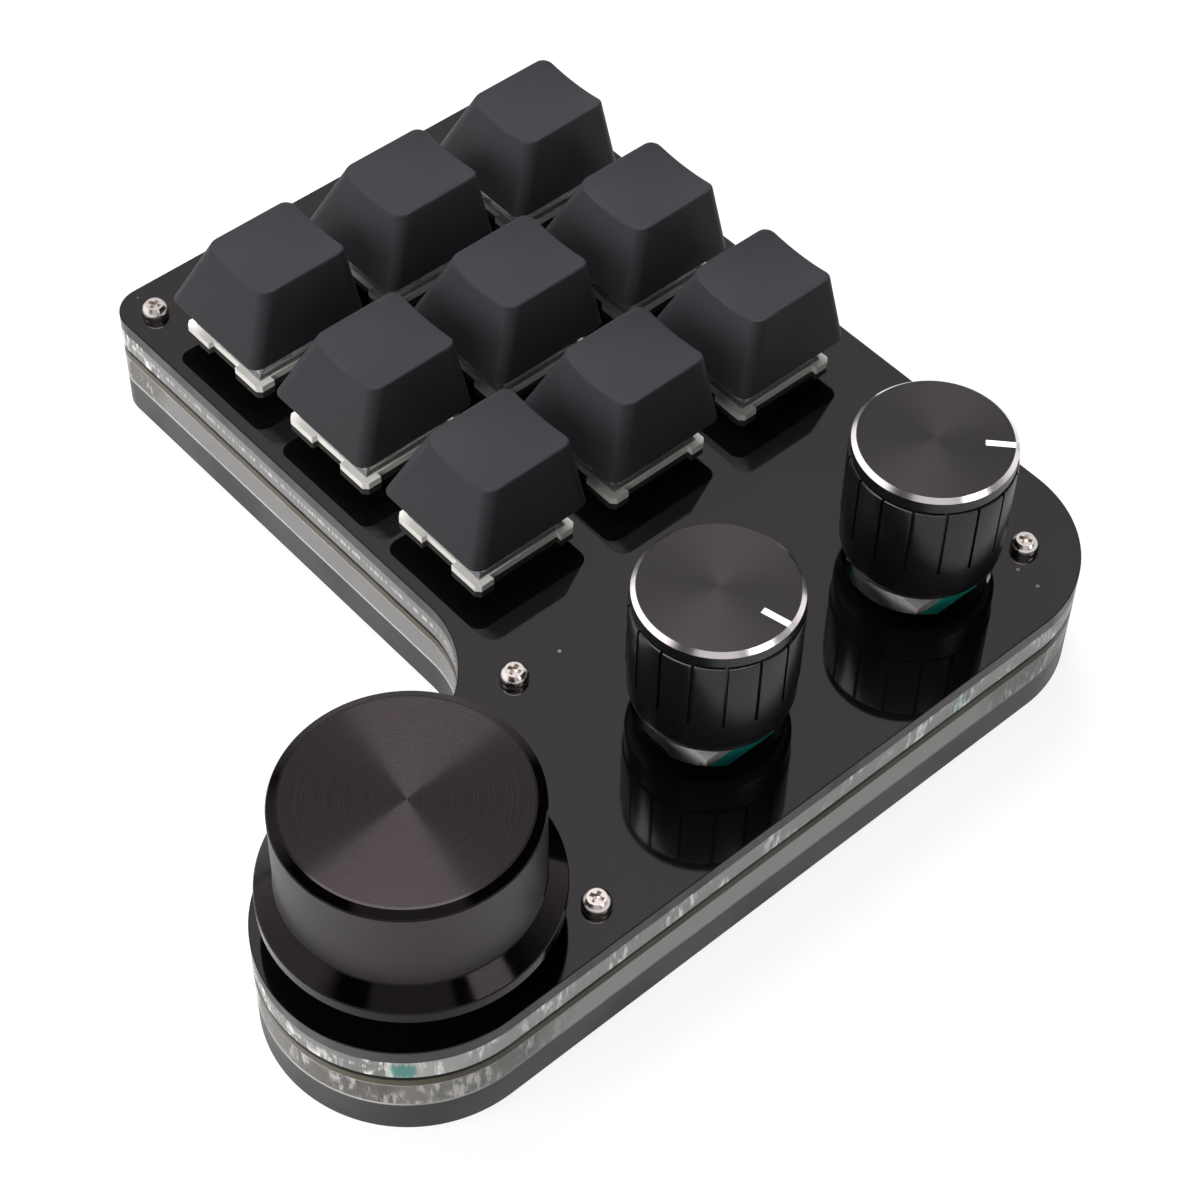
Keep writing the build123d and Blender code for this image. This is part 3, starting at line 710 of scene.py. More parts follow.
def polished_sheet(colours):
    """Polished black sheet with specks of dust."""
    finish = Finish("polished black sheet", colours.sheet, 0.05)
    finish.surface("grain", 900.0, 0.025, 0.06)
    finish.tint(finish.effect("specks", Scale=300.0, Share=0.09)["Mask"], (0.16, 0.16, 0.16))
    return finish.material


def satin_sheet(colours):
    """Satin bottom sheet, streaked where it was cut."""
    finish = Finish("satin bottom sheet", colours.base_sheet, 0.4)
    finish.surface("grain", 2200.0, 0.3, 0.46, 0.012)
    finish.tint(finish.effect("streaks", Scale=700.0)["Tone"], scaled(colours.base_sheet, 1.4))
    return finish.material


def board_mask(colours):
    """Black mask of the circuit board, with the core bare on its cut edge."""
    finish = Finish("circuit board", (0.006, 0.0065, 0.006), 0.35, Specular_IOR_Level=0.1)
    finish.surface("grain", 3000.0, 0.3, 0.5, 0.01)
    low, high = heights("circuit_board")
    lower_skin, upper_skin = 0.04 * MM, 0.5 * MM
    across = finish.axes()["Z"]
    above = math_node(finish.tree, "GREATER_THAN", across, low + lower_skin)
    below = math_node(finish.tree, "LESS_THAN", across, high - upper_skin)
    finish.tint(times(finish.tree, above, below), colours.board_core)
    return finish.material


def clear_sheet(colours, block_depth):
    """Clear sheet whose cut edges get painted light: painted reflections in bright patches at corners, a row
    of painted bright ticks, painted shade in the lower frame at the corners, painted glimpses of teal, and a
    right wall painted lighter with a painted glow.
    """
    finish = Finish("clear sheet", scaled(colours.clear, 0.43), 0.3, Transmission_Weight=0.25, IOR=1.49)
    streaks = finish.surface("streaks", 1100.0, 0.06, 0.3, 0.015)
    fine = finish.effect("streaks", Scale=2800.0)
    tree, axes = finish.tree, finish.axes()
    low, high = heights("upper_spacer")
    edge_low, edge_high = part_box("bottom_plate")
    far_knob, dial = middle_of("encoder_shaft_2"), middle_of("encoder_shaft_3")

    def around(spot):
        """How far the surface is from a spot."""
        return vector_node(tree, "DISTANCE", finish.place, spot)

    # The right wall: painted lighter and given a painted glow, as if more light fell on that side.
    right = spread(tree, axes["X"], edge_high.x - 6 * MM, edge_high.x - 4 * MM)
    # Where painted light falls: the upper part of the right wall and round four corners of the keypad.
    broken = times(tree, right, spread(tree, axes["Z"], low - MM, low))
    for x, y, reach in (
        (edge_low.x, edge_high.y - block_depth, 10 * MM),
        (edge_low.x, edge_high.y, 10 * MM),
        (edge_high.x, edge_high.y, 22 * MM),
        (middle_of("dial_knob").x, edge_low.y, 26 * MM),
    ):
        broken = largest(tree, broken, fade(tree, around((x, y, low)), reach, 1.3 * reach))
    under, over = low - 2 * MM, low - MM
    # Bright patches of painted reflection there, half as strong in the lower frame.
    painted_patches = times(tree, streaks["Patch"], broken, spread(tree, axes["Z"], under, over, 0.5, 1.0))
    # Painted shade: the lower frame is darker at those corners.
    painted_corner_shade = times(tree, broken, spread(tree, axes["Z"], under, over, 0.8, 0.0))

    # A row of bright ticks along the middle of the upper frame: painted highlights that fade out on the right
    # wall.
    row = fade(tree, off(tree, axes["Z"], low + 0.55 * (high - low)), 0.25 * MM, 0.4 * MM)
    lit = spread(tree, fine["Height"], 0.47, 0.57)
    ticks = times(tree, row, lit, spread(tree, right, 0.0, 1.0, 0.65, 0.0))
    shine = largest(tree, ticks, painted_patches)
    # Paints the right wall lighter, the corner shade darker, and the patches and ticks bright.
    finish.tint(right, scaled(colours.clear, 0.9)).tint(painted_corner_shade, (0.2, 0.185, 0.16)).tint(shine, colours.clear)
    # Painted teal patches that stand for the encoder bases seen through the wall.
    for spot in (
        (edge_high.x, far_knob.y - 10 * MM, low + 1.2 * MM),
        (dial.x + 13.2 * MM, dial.y - 12.1 * MM, low + 1.4 * MM),
    ):
        ragged = math_node(tree, "MULTIPLY_ADD", streaks["Height"], 3.0, -0.5)
        painted_glimpse = fade(tree, times(tree, ragged, around(spot)), 0.9 * MM, 1.7 * MM)
        finish.tint(painted_glimpse, (0.1, 0.5, 0.43))
    # A painted glow on the right wall and in the bright patches; the sheet gives off this light though it is
    # no lamp.
    painted_glow = math_node(tree, "MULTIPLY_ADD", right, 0.05, times(tree, painted_patches, 0.2))
    finish.glow(painted_glow, colours.clear).vary("Alpha", shine, 0.7, 1.0)
    return finish.material


# Sheets

# Counts, holes and clearances of the sheets
KEYS = range(1, 10)
ENCODERS = range(1, 4)
SCREW_COUNT = 5
SCREW_APART = 4 * MM
SCREW_HOLE = 1.1 * MM
SWITCH_HOLE = 14.0 * MM
ENCODER_HOLE = 9.2 * MM
NUT_POCKET = 2.43 * MM
NUT_POCKET_DEPTH = 4 * MM
SOCKET_SPARE = 0.2 * MM
SOCKET_CUT = 15 * MM
LEAST_CORNER = 0.3 * MM
NEARLY_ALL = 0.9999


def sheet_blank(name, inset, low, high):
    """Models the keypad's outline, moved in by an inset: a plane that gets corners and a thickness."""
    sizes = bpy.context.scene.keypad_sheets
    edge_low, edge_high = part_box("bottom_plate")
    left, right = edge_low.x + inset, edge_high.x - inset
    front, back = edge_low.y + inset, edge_high.y - inset
    block_front = edge_high.y - sizes.block_depth + inset
    inner = edge_high.x - 2 * sizes.column + inset
    centre = Vector(((left + right) / 2, (block_front + back) / 2, low))
    piece = start(
        bpy.ops.mesh.primitive_plane_add, name, (right - left, back - block_front, 1), size=1, location=centre
    )

    def at_front(corner):
        """Whether a corner lies on the front edge of the block of keys."""
        return near(corner.co.y, block_front)

    pick("EDGE", lambda edge: all(at_front(corner) for corner in edge.verts))
    bpy.ops.mesh.subdivide(number_cuts=1)
    pick("VERT", lambda corner: near(corner.co.x, centre.x) and at_front(corner))
    bpy.ops.transform.translate(value=(inner - centre.x, 0, 0))
    pick("EDGE", lambda edge: all(at_front(corner) and corner.co.x > inner - CLOSE for corner in edge.verts))
    bpy.ops.mesh.extrude_edges_move(TRANSFORM_OT_translate={"value": (0, front - block_front, 0)})
    select_all()
    bpy.ops.mesh.dissolve_limited(angle_limit=math.radians(1))
    end = (sizes.column - inset) * NEARLY_ALL
    small = max(sizes.small_corner - inset, LEAST_CORNER)
    for spot, radius in (
        ((left, block_front), small),
        ((left, back), small),
        ((right, back), sizes.round_corner - inset),
        ((inner, block_front), sizes.inner_corner + inset),
        ((inner, front), end),
        ((right, front), end),
    ):
        pick("VERT", lambda corner: (corner.co.xy - Vector(spot)).length < 10 * CLOSE)
        bpy.ops.mesh.bevel(
            offset=radius, offset_type="OFFSET", segments=sizes.corner_steps, profile=0.5,
            affect="VERTICES", clamp_overlap=False,
        )
    select_all()
    bpy.ops.mesh.remove_doubles(threshold=5 * CLOSE)
    select_all()
    extrude((0, 0, high - low))
    outwards()
    return piece


def sheet(name, node, width):
    """Models a whole sheet at a CAD sheet's heights, with broken edges."""
    low, high = heights(node)
    piece = sheet_blank(name, 0, low, high)
    edit(piece)
    pick("EDGE", lambda edge: any(all(near(end.co.z, side) for end in edge.verts) for side in (low, high)))
    bevel(width, steps=2)
    close()
    return piece


def holes(name, node, spots, size):
    """Tools for holes through a CAD sheet."""
    low, high = heights(node)
    return bars(name, spots, size, low - MM, high - low + 2 * MM)


def clear_frame(name, node, screws):
    """Models a clear frame: a sheet cut out inside, but for a boss round each screw."""
    sizes = bpy.context.scene.keypad_sheets
    low, high = heights(node)
    piece = sheet(name, node, sizes.edge_bevel)
    inside = sheet_blank("inside", sizes.wall, low - MM, high + MM)
    cut(inside, bars("bosses", screws, sizes.boss, low - 2 * MM, high - low + 4 * MM))
    cut(piece, inside)
    cut(piece, holes("screw_holes", node, screws, SCREW_HOLE))
    return piece


def socket_mouth():
    """A tool for the gap that the cable socket needs in the lower frame."""
    mouth_low, mouth_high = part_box("cable_socket")
    low, high = heights("lower_spacer")
    return block(
        "socket_mouth", (mouth_high.x - mouth_low.x + SOCKET_SPARE, SOCKET_CUT, high - low + 2 * MM),
        ((mouth_low.x + mouth_high.x) / 2, mouth_high.y, (low + high) / 2),
    )


def upright(face):
    """Whether a face is part of an upright wall."""
    return abs(face.normal.z) < 0.3


def screw_spots():
    """The places of the plate screws, read from the upper ends of the CAD screws."""
    top_z = heights("plate_screws")[1] - 5 * CLOSE
    groups = []
    for top in (corner.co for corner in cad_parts["plate_screws"].data.vertices if corner.co.z > top_z):
        for group in groups:
            if (group[0] - top).length < SCREW_APART:
                group.append(top)
                break
        else:
            groups.append([top])
    if len(groups) != SCREW_COUNT:
        raise RuntimeError(f"{SCREW_COUNT} plate screws were expected, not {len(groups)}")
    spots = []
    for group in groups:
        low_x, high_x = min(top.x for top in group), max(top.x for top in group)
        low_y, high_y = min(top.y for top in group), max(top.y for top in group)
        spots.append(Vector(((low_x + high_x) / 2, (low_y + high_y) / 2, 0)))
    return spots


class KEYPAD_OT_sheets(bpy.types.Operator):
    """Models the top sheet, the two clear frames and the bottom sheet, and finishes the circuit board"""

    bl_idname = "keypad.sheets"
    bl_label = "Sheets"

    def execute(self, context):
        sizes, colours = context.scene.keypad_sheets, context.scene.keypad_finish
        screws = screw_spots()
        keys = [middle_of(f"keycap_{key}") for key in KEYS]
        encoders = [middle_of(f"encoder_shaft_{number}") for number in ENCODERS]
        upper_bevel = sloping(0.2, 0.95)
        edge = streaked(
            "cut edge of the black sheet", colours.sheet_edge, 0.4, 0.28, 0.5, 1600.0,
            scaled(colours.sheet_edge, 1.9), 0.01,
        )
        clear = clear_sheet(colours, sizes.block_depth)
        # A pale colour with darker laser streaks for the upward bevels: a painted highlight along the top
        # edges of the lower frame and the bottom sheet.
        painted_bevel_highlight = streaked(
            "pale seam", scaled(colours.clear, 0.5), 0.5, 0.4, 0.6, 1100.0, scaled(colours.clear, 0.35)
        )

        top = sheet("black_top_sheet", "top_plate", sizes.edge_bevel)
        cut(top, holes("switch_holes", "top_plate", keys, (SWITCH_HOLE, SWITCH_HOLE)))
        cut(top, holes("encoder_holes", "top_plate", encoders, ENCODER_HOLE))
        cut(top, holes("screw_holes", "top_plate", screws, SCREW_HOLE))
        coat(top, polished_sheet(colours))
        coat(top, edge, upright)
        hand_over(top, "case", "top_sheet", "top_plate", angle=20)

        upper = clear_frame("clear_frame_upper", "upper_spacer", screws)
        coat(upper, clear)
        hand_over(upper, "case", "clear_sheet", "upper_spacer", angle=20)
        lower = clear_frame("clear_frame_lower", "lower_spacer", screws)
        cut(lower, socket_mouth())
        coat(lower, clear)
        # Painted highlight on the lower frame's upward bevels.
        coat(lower, painted_bevel_highlight, upper_bevel)
        hand_over(lower, "case", "clear_sheet", "lower_spacer", angle=20)

        bottom = sheet("satin_bottom_sheet", "bottom_plate", 2 * sizes.edge_bevel)
        cut(bottom, holes("screw_holes", "bottom_plate", screws, SCREW_HOLE))
        low = heights("bottom_plate")[0]
        pockets = [
            rod(
                "nut_pocket", NUT_POCKET, NUT_POCKET_DEPTH, (spot.x, spot.y, low),
                sides=6, rotation=(0, 0, math.pi / 2),
            )
            for spot in screws
        ]
        cut(bottom, join(pockets, "nut_pockets"))
        coat(bottom, satin_sheet(colours))
        # Painted highlight on the bottom sheet's upward bevels.
        coat(bottom, painted_bevel_highlight, upper_bevel)
        hand_over(bottom, "case", "bottom_sheet", "bottom_plate", angle=20)

        dress(board_mask(colours), "circuit_board")
        dress(moulded("black component packages", (0.02, 0.02, 0.021), 0.4, 0.6), "board_components")
        return {"FINISHED"}


# Keys

# Fixed sizes of a keycap's dish, post and cross
DISH_SPARE = 0.35 * MM
DISH_STEP = 0.85 * MM
DISH_STEPS = 5
POST_RADIUS = 2.75 * MM
POST_REACH = 3.5 * MM
POST_BITE = 0.3 * MM
CROSS_LONG, CROSS_WIDE = 4.06 * MM, 1.26 * MM
CROSS_SPARE = 0.1 * MM


class KEYPAD_OT_keycaps(bpy.types.Operator):
    """Models a dished, hollow keycap and its coiled spring, and copies them to every key"""

    bl_idname = "keypad.keycaps"
    bl_label = "Keycaps"

    def dish_drops(self, sizes, spot, base):
        """Where the top's corners are and how far each slides down its side to lie on the dish."""
        half = sizes.top_width / 2 + DISH_SPARE
        radius = (half**2 + sizes.dish_depth**2) / (2 * sizes.dish_depth)
        drops = []
        for corner in bmesh.from_edit_mesh(bpy.context.object.data).verts:
            if not near(corner.co.z, spot.z + sizes.height):
                continue
            across, along = corner.co.x - spot.x, corner.co.y - spot.y - sizes.top_shift
            foot = spot + Vector((across * base / sizes.top_width, along * base / sizes.top_depth, 0))
            for edge in corner.link_edges:
                if near(edge.other_vert(corner).co.z, spot.z):
                    foot = edge.other_vert(corner).co
            depth = sizes.dish_depth - radius + math.sqrt(radius**2 - across**2)
            drops.append((corner.co.copy(), (foot - corner.co) * (depth / sizes.height)))
        return drops

    def shell(self, sizes, spot, base, hollow):
        """Models the dished shell as a box with a smaller, shifted top, and hollows it from below."""
        top_z = spot.z + sizes.height
        middle = (spot.x, spot.y, spot.z + sizes.height / 2)
        cap = block("dished_keycap_1", (base, base, sizes.height), middle)
        pick("FACE", facing(2))
        bpy.ops.transform.resize(
            value=(sizes.top_width / base, sizes.top_depth / base, 1), center_override=(spot.x, spot.y, top_z)
        )
        bpy.ops.transform.translate(value=(0, sizes.top_shift, 0))
        pick("EDGE", lambda edge: not near(edge.verts[0].co.z, edge.verts[1].co.z))
        bevel(sizes.corner, steps=7)
        for step in range(-DISH_STEPS, DISH_STEPS + 1):
            pick("FACE", facing(2))
            bpy.ops.mesh.bisect(plane_co=(spot.x + step * DISH_STEP, spot.y, top_z), plane_no=(1, 0, 0))
        for place, drop in self.dish_drops(sizes, spot, base):
            pick("VERT", lambda corner: (corner.co - place).length < CLOSE)
            bpy.ops.transform.translate(value=drop)
        on_top = facing(2)
        pick("EDGE", lambda edge: sorted(on_top(face) for face in edge.link_faces) == [False, True])
        bevel(sizes.rim, steps=4)

        pick("FACE", facing(2, -1))
        bpy.ops.mesh.inset(thickness=sizes.wall)
        extrude((0, sizes.top_shift, hollow))
        inner, walls = base - 2 * sizes.wall, 2 * sizes.wall
        bpy.ops.transform.resize(
            value=((sizes.top_width - walls) / inner, (sizes.top_depth - walls) / inner, 1),
            center_override=(spot.x, spot.y + sizes.top_shift, spot.z + hollow),
        )
        close()
        return cap

    def coil(self, sizes, spot):
        """Models the spring as a small circle that is wound upwards."""
        low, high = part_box("switch_spring_1")
        radius = (high.x - low.x) / 2 - sizes.wire
        coil = start(
            bpy.ops.mesh.primitive_circle_add, "coiled_spring_1", vertices=8, radius=sizes.wire,
            location=(radius, 0, 0), rotation=(math.pi / 2, 0, 0),
        )
        close()
        wind = coil.modifiers.new("wind", "SCREW")
        wind.angle = 2 * math.pi
        wind.screw_offset = (high.z - low.z - 2 * sizes.wire) / sizes.turns
        wind.iterations = sizes.turns
        wind.steps = wind.render_steps = 20
        bpy.ops.object.modifier_apply(modifier=wind.name)
        edit(coil)
        select_all()
        bpy.ops.mesh.remove_doubles(threshold=CLOSE)
        bpy.ops.mesh.fill_holes(sides=0)
        outwards()
        coil.location = (spot.x, spot.y, low.z + sizes.wire)
        settle()
        return coil

    def execute(self, context):
        sizes, colours = context.scene.keypad_keys, context.scene.keypad_finish
        spots = [middle_of(f"keycap_{key}") for key in KEYS]
        low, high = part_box("keycap_1")
        spot = Vector((spots[0].x, spots[0].y, low.z))
        hollow = sizes.height - sizes.dish_depth - sizes.roof
        cap = self.shell(sizes, spot, high.x - low.x, hollow)

        stem_top = heights("switch_stem_1")[1]
        post_low, post_high = stem_top - POST_REACH, low.z + hollow + POST_BITE
        post_middle = (spot.x, spot.y, (post_low + post_high) / 2)
        cut(cap, rod("post", POST_RADIUS, post_high - post_low, post_middle, sides=40), "UNION")
        for arm in ((CROSS_LONG, CROSS_WIDE), (CROSS_WIDE, CROSS_LONG)):
            cut(cap, bars("cross", [spot], arm, post_low - MM, stem_top + CROSS_SPARE - post_low + MM))
        charcoal = moulded(
            "charcoal keycap", colours.keycap, 0.42, 0.56, 2800.0, 0.014, Specular_IOR_Level=0.25
        )
        coat(cap, charcoal)
        for key, piece in zip(KEYS, with_copies(cap, "dished_keycap", spots)):
            hand_over(piece, f"key_{key}", "keycap", f"keycap_{key}")

        coil = self.coil(sizes, spot)
        coat(coil, plated("spring wire", (0.6, 0.6, 0.6), 0.2, 0.35))
        for key, foot, piece in zip(KEYS, spots, with_copies(coil, "coiled_spring", spots)):
            hand_over(piece, "case", "spring_wire", f"switch_spring_{key}")
            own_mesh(piece)
        return {"FINISHED"}


class KEYPAD_OT_switches(bpy.types.Operator):
    """Finishes the switches: their lower and upper halves, stems and contact pins"""

    bl_idname = "keypad.switches"
    bl_label = "Switches"

    def execute(self, context):
        colours = context.scene.keypad_finish
        dress(moulded("off-white switch body", colours.switch_body, 0.35, 0.5), "switch_bases")
        clear = Finish("clear switch top", (0.86, 0.87, 0.86), 0.12, Transmission_Weight=0.85, IOR=1.5)
        clear.surface("grain", 1500.0, 0.08, 0.2, 0.006)
        dress(clear.material, "switch_tops")
        dress(moulded("red stem", colours.stem, 0.28, 0.42), *(f"switch_stem_{key}" for key in KEYS))
        dress(plated("tinned contact", (0.72, 0.68, 0.6), 0.25, 0.4), "contact_pins")
        return {"FINISHED"}


# Encoders, knobs and dial

class KEYPAD_OT_encoders(bpy.types.Operator):
    """Finishes the encoders under the knobs and the dial"""

    bl_idname = "keypad.encoders"
    bl_label = "Encoders"

    def execute(self, context):
        bracket = Finish("pressed tinned sheet", (0.92, 0.92, 0.9), 0.35, Metallic=0.15)
        bracket.tint(bracket.surface("grain", 1800.0, 0.25, 0.42)["Tone"], (0.72, 0.72, 0.7))
        for part, material in (
            ("base", moulded("teal encoder base", context.scene.keypad_finish.encoder, 0.35, 0.5)),
            ("bracket", bracket.material),
            ("shaft", plated("turned shaft", (0.7, 0.7, 0.71), 0.18, 0.3)),
            ("plunger", moulded("pale plunger", (0.6, 0.6, 0.57), 0.35, 0.5)),
        ):
            dress(material, *(f"encoder_{part}_{number}" for number in ENCODERS))
        return {"FINISHED"}


# Fixed sizes of the small knobs' steps and edges, and what marks the edges beside a groove
SHOULDER_ROUND = 0.35 * MM
SHOULDER_STEP = 0.1 * MM
GRIP_EDGE = 0.1 * MM
GRIP_STEP, GRIP_RISE = 0.05 * MM, 0.02 * MM
SPIGOT_STEP = 0.98 * MM
BODY_FOOT = 0.6 * MM
BODY_ROOF = 2 * MM
FIRST_GROOVE = 0.37
GROOVE_EDGE = 0.13 * MM
LONG_EDGE, GRIP_SPARE, SHARP_EDGE = 2 * MM, 0.15 * MM, 0.6
CAP_FOOT, CAP_FOOT_HEIGHT = 0.3 * MM, 0.08 * MM
POINTER_SPARE = 0.03 * MM


class KEYPAD_OT_knobs(bpy.types.Operator):
    """Models a small knob with its grooved body, copies it, and gives each its spun cap and pointer"""

    bl_idname = "keypad.knobs"
    bl_label = "Small knobs"

    def body(self, sizes, axis, cap_radius):
        """Models the turned body and cuts its grip grooves."""
        low, high = heights("knob_body_1")
        grip_z, shoulder_z = PLATE_TOP + sizes.grip_start, PLATE_TOP + sizes.shoulder
        inner, corner = sizes.lower - sizes.wall, sizes.bottom_round
        profile = [
            (inner, shoulder_z - BODY_ROOF),
            (inner, low + corner),
            (sizes.lower - corner - BODY_FOOT, low),
            *quarter(corner, sizes.lower - corner, low + corner, 0, 9),
            (sizes.lower, grip_z),
            (sizes.grip - GRIP_STEP, grip_z + GRIP_RISE),
            (sizes.grip, grip_z + GRIP_EDGE),
            (sizes.grip, shoulder_z - SHOULDER_ROUND),
            (sizes.grip - SHOULDER_STEP, shoulder_z - SHOULDER_STEP),
            (sizes.grip - SHOULDER_ROUND, shoulder_z),
            (cap_radius - SPIGOT_STEP, shoulder_z),
            (cap_radius - SPIGOT_STEP, high),
        ]
        body = turn("grooved_knob_1", axis, profile, segments=224)
        size = (2 * sizes.groove_depth, sizes.groove_width, shoulder_z + MM - grip_z)
        tools = []
        for step in range(sizes.grooves):
            angle = 2 * math.pi * (step + FIRST_GROOVE) / sizes.grooves
            x, y = axis.x + sizes.grip * math.cos(angle), axis.y + sizes.grip * math.sin(angle)
            tools.append(block("groove", size, (x, y, (grip_z + shoulder_z + MM) / 2), angle))
        cut(body, join(tools, "grooves"))
        edit(body)

        def beside_groove(edge):
            """Whether an edge is a long and sharp one on the outside."""
            long = abs(edge.verts[0].co.z - edge.verts[1].co.z) > LONG_EDGE
            outside = all((end.co - axis).xy.length > sizes.grip - GRIP_SPARE for end in edge.verts)
            return long and outside and len(edge.link_faces) == 2 and edge.calc_face_angle() > SHARP_EDGE

        pick("EDGE", beside_groove)
        bevel(GROOVE_EDGE, steps=2, clamp=True)
        close()
        return body

    def cap_and_pointer(self, sizes, number, axis, cap_radius):
        """Models a turned cap and, in a slot cut from it, the pointer."""
        low, high = heights(f"knob_cap_{number}")
        profile = [
            (cap_radius - CAP_FOOT, low),
            (cap_radius, low + CAP_FOOT_HEIGHT),
            (cap_radius, high - sizes.rim),
            (cap_radius - sizes.rim, high),
        ]
        cap = turn(f"spun_cap_{number}", axis, profile, segments=192)
        pointer = copy_piece(cap, f"white_pointer_{number}")
        across = middle_of(f"knob_pointer_{number}") - axis
        angle = math.atan2(across.y, across.x)
        reach = (sizes.pointer_start + cap_radius + MM) / 2
        place = (axis.x + reach * math.cos(angle), axis.y + reach * math.sin(angle), high)
        long = cap_radius + MM - sizes.pointer_start
        for piece, spare, operation in ((cap, POINTER_SPARE, "DIFFERENCE"), (pointer, 0, "INTERSECT")):
            size = (long + 2 * spare, sizes.pointer_width + 2 * spare, 2 * sizes.pointer_depth)
            cut(piece, block("pointer_slot", size, place, angle), operation)
        return cap, pointer

    def execute(self, context):
        sizes, colours = context.scene.keypad_knobs, context.scene.keypad_finish
        axes = [middle_of("encoder_shaft_1"), middle_of("encoder_shaft_2")]
        cap_low, cap_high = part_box("knob_cap_1")
        cap_radius = (cap_high.x - cap_low.x) / 2
        black = moulded("satin black knob", colours.knob, 0.2, 0.32, 2200.0, 0.004)
        white = moulded("white pointer", colours.pointer, 0.4, 0.55)
        rim = Finish("bright cut rim", colours.bright_metal, 0.16, Metallic=1.0)
        rim.surface("grain", 2500.0, 0.12, 0.22, 0.002)
        first = self.body(sizes, axes[0], cap_radius)
        coat(first, black)
        bodies = with_copies(first, "grooved_knob", axes)
        for number, rides_on, axis, body in zip((1, 2), ("near_knob", "far_knob"), axes, bodies):
            hand_over(body, rides_on, "knob_plastic", f"knob_body_{number}")
            cap, pointer = self.cap_and_pointer(sizes, number, axis, cap_radius)
            top = scaled(colours.knob_cap, 0.9)
            spun = turned(
                f"spun knob cap {number}", top, axis, 0.34, 0.42, anisotropy=0.4, depth=0.0015, scale=16000.0
            )
            coat(cap, spun)
            coat(cap, black, upright)
            coat(cap, rim.material, sloping(0.3, 0.9))
            coat(pointer, white)
            hand_over(cap, rides_on, "knob_cap_metal", f"knob_cap_{number}")
            hand_over(pointer, rides_on, "pointer_white", f"knob_pointer_{number}")
        return {"FINISHED"}


# Fixed sizes of the dial's foot and of its set screw's hole
FOOT_CHAMFER = 0.25 * MM
FOOT_SPARE = 0.1 * MM
SET_SCREW_SPARE = 0.03 * MM
SET_SCREW_HOLE = 20 * MM

# Name, share of the dial's colour, limits of roughness, anisotropy, and depth and scale of the marks; the
# smaller shares make the top and the bevel darker copies of the dial's colour, painted shade, while their
# marks and roughness are the real finish
DIAL_FINISHES = (
    ("satin dial wall", 1.0, 0.32, 0.4, 0.3, 0.003, 9000.0),
    ("spun dial top", 0.53, 0.22, 0.28, 1.0, 0.00025, 16000.0),
    ("polished dial bevel", 0.25, 0.06, 0.12, 0.2, 0.0006, 12000.0),
)


class KEYPAD_OT_dial(bpy.types.Operator):
    """Models the large turned dial with its bevelled foot, satin wall and spun top"""

    bl_idname = "keypad.dial"
    bl_label = "Dial"

    def execute(self, context):
        sizes, colours = context.scene.keypad_dial, context.scene.keypad_finish
        low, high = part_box("dial_knob")
        axis = middle_of("encoder_shaft_3")
        foot = (high.x - low.x) / 2
        profile = [
            (sizes.recess, low.z + sizes.recess_depth),
            (sizes.recess, low.z),
            (foot - FOOT_CHAMFER, low.z),
            (foot, low.z + FOOT_CHAMFER),
            (foot, low.z + sizes.lip),
            (sizes.wall, low.z + sizes.wall_start),
            (sizes.wall, high.z - sizes.rim_drop),
            (sizes.rim, high.z),
            (sizes.rim / 2, high.z),
        ]
        dial = turn("turned_dial", axis, soften(profile, sizes.soft_edge), segments=256)
        screw_low, screw_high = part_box("dial_set_screw")
        radius = (screw_high.x - screw_low.x) / 2 + SET_SCREW_SPARE
        place = (axis.x, screw_low.y + SET_SCREW_HOLE / 2, (screw_low.z + screw_high.z) / 2)
        hole = rod("set_screw_hole", radius, SET_SCREW_HOLE, place, sides=48, rotation=(math.pi / 2, 0, 0))
        cut(dial, hole)
        # The spun top and the polished bevel are darker copies of the dial's colour: painted shade.
        satin, spun, polished = (
            turned(name, scaled(colours.dial, share), axis, *marks) for name, share, *marks in DIAL_FINISHES
        )
        foot_start = sizes.wall + FOOT_SPARE
        coat(dial, satin)
        coat(dial, spun, sloping(0.95))
        coat(dial, polished, sloping(0.3, 0.95))
        coat(dial, polished, lambda face: (face.calc_center_median() - axis).xy.length > foot_start)
        hand_over(dial, "dial", "dial_metal", "dial_knob", angle=10)
        dress(plated("black set screw", (0.06, 0.06, 0.06), 0.3, 0.45), "dial_set_screw")
        return {"FINISHED"}


# Screws, feet and socket

# Fixed sizes of a plate screw, whose head's curve is in millimetres, and of a rubber foot
SHANK_RADIUS, SHANK_ROOT, SHANK_NECK, SHANK_TIP = 1.0 * MM, 0.84 * MM, 0.95 * MM, 0.8 * MM
SHANK_PITCH = 0.4 * MM
SHANK_END = 0.5 * MM
TIP_HEIGHT = 0.1 * MM
HEAD_TOP = 1.15 * MM
HEAD_CURVE = ((0.95, 0), (1.7, 0), (1.75, 0.1), (1.75, 0.6), (1.71, 0.9), (1.6, 1.2), (1.42, 1.45))
RECESS = (2.5 * MM, 0.8 * MM, 1.5 * MM)
RECESS_TURN = 0.4
RECESS_TAPER = 0.4
RECESS_RISE = 0.1 * MM
PAD_RADIUS = 4.5 * MM
PAD_ROUND = 0.5 * MM
PAD_DISH = ((1.2 * MM, 0.25 * MM), (3.4 * MM, 0))
PAD_SHIFT = 0.85 * MM


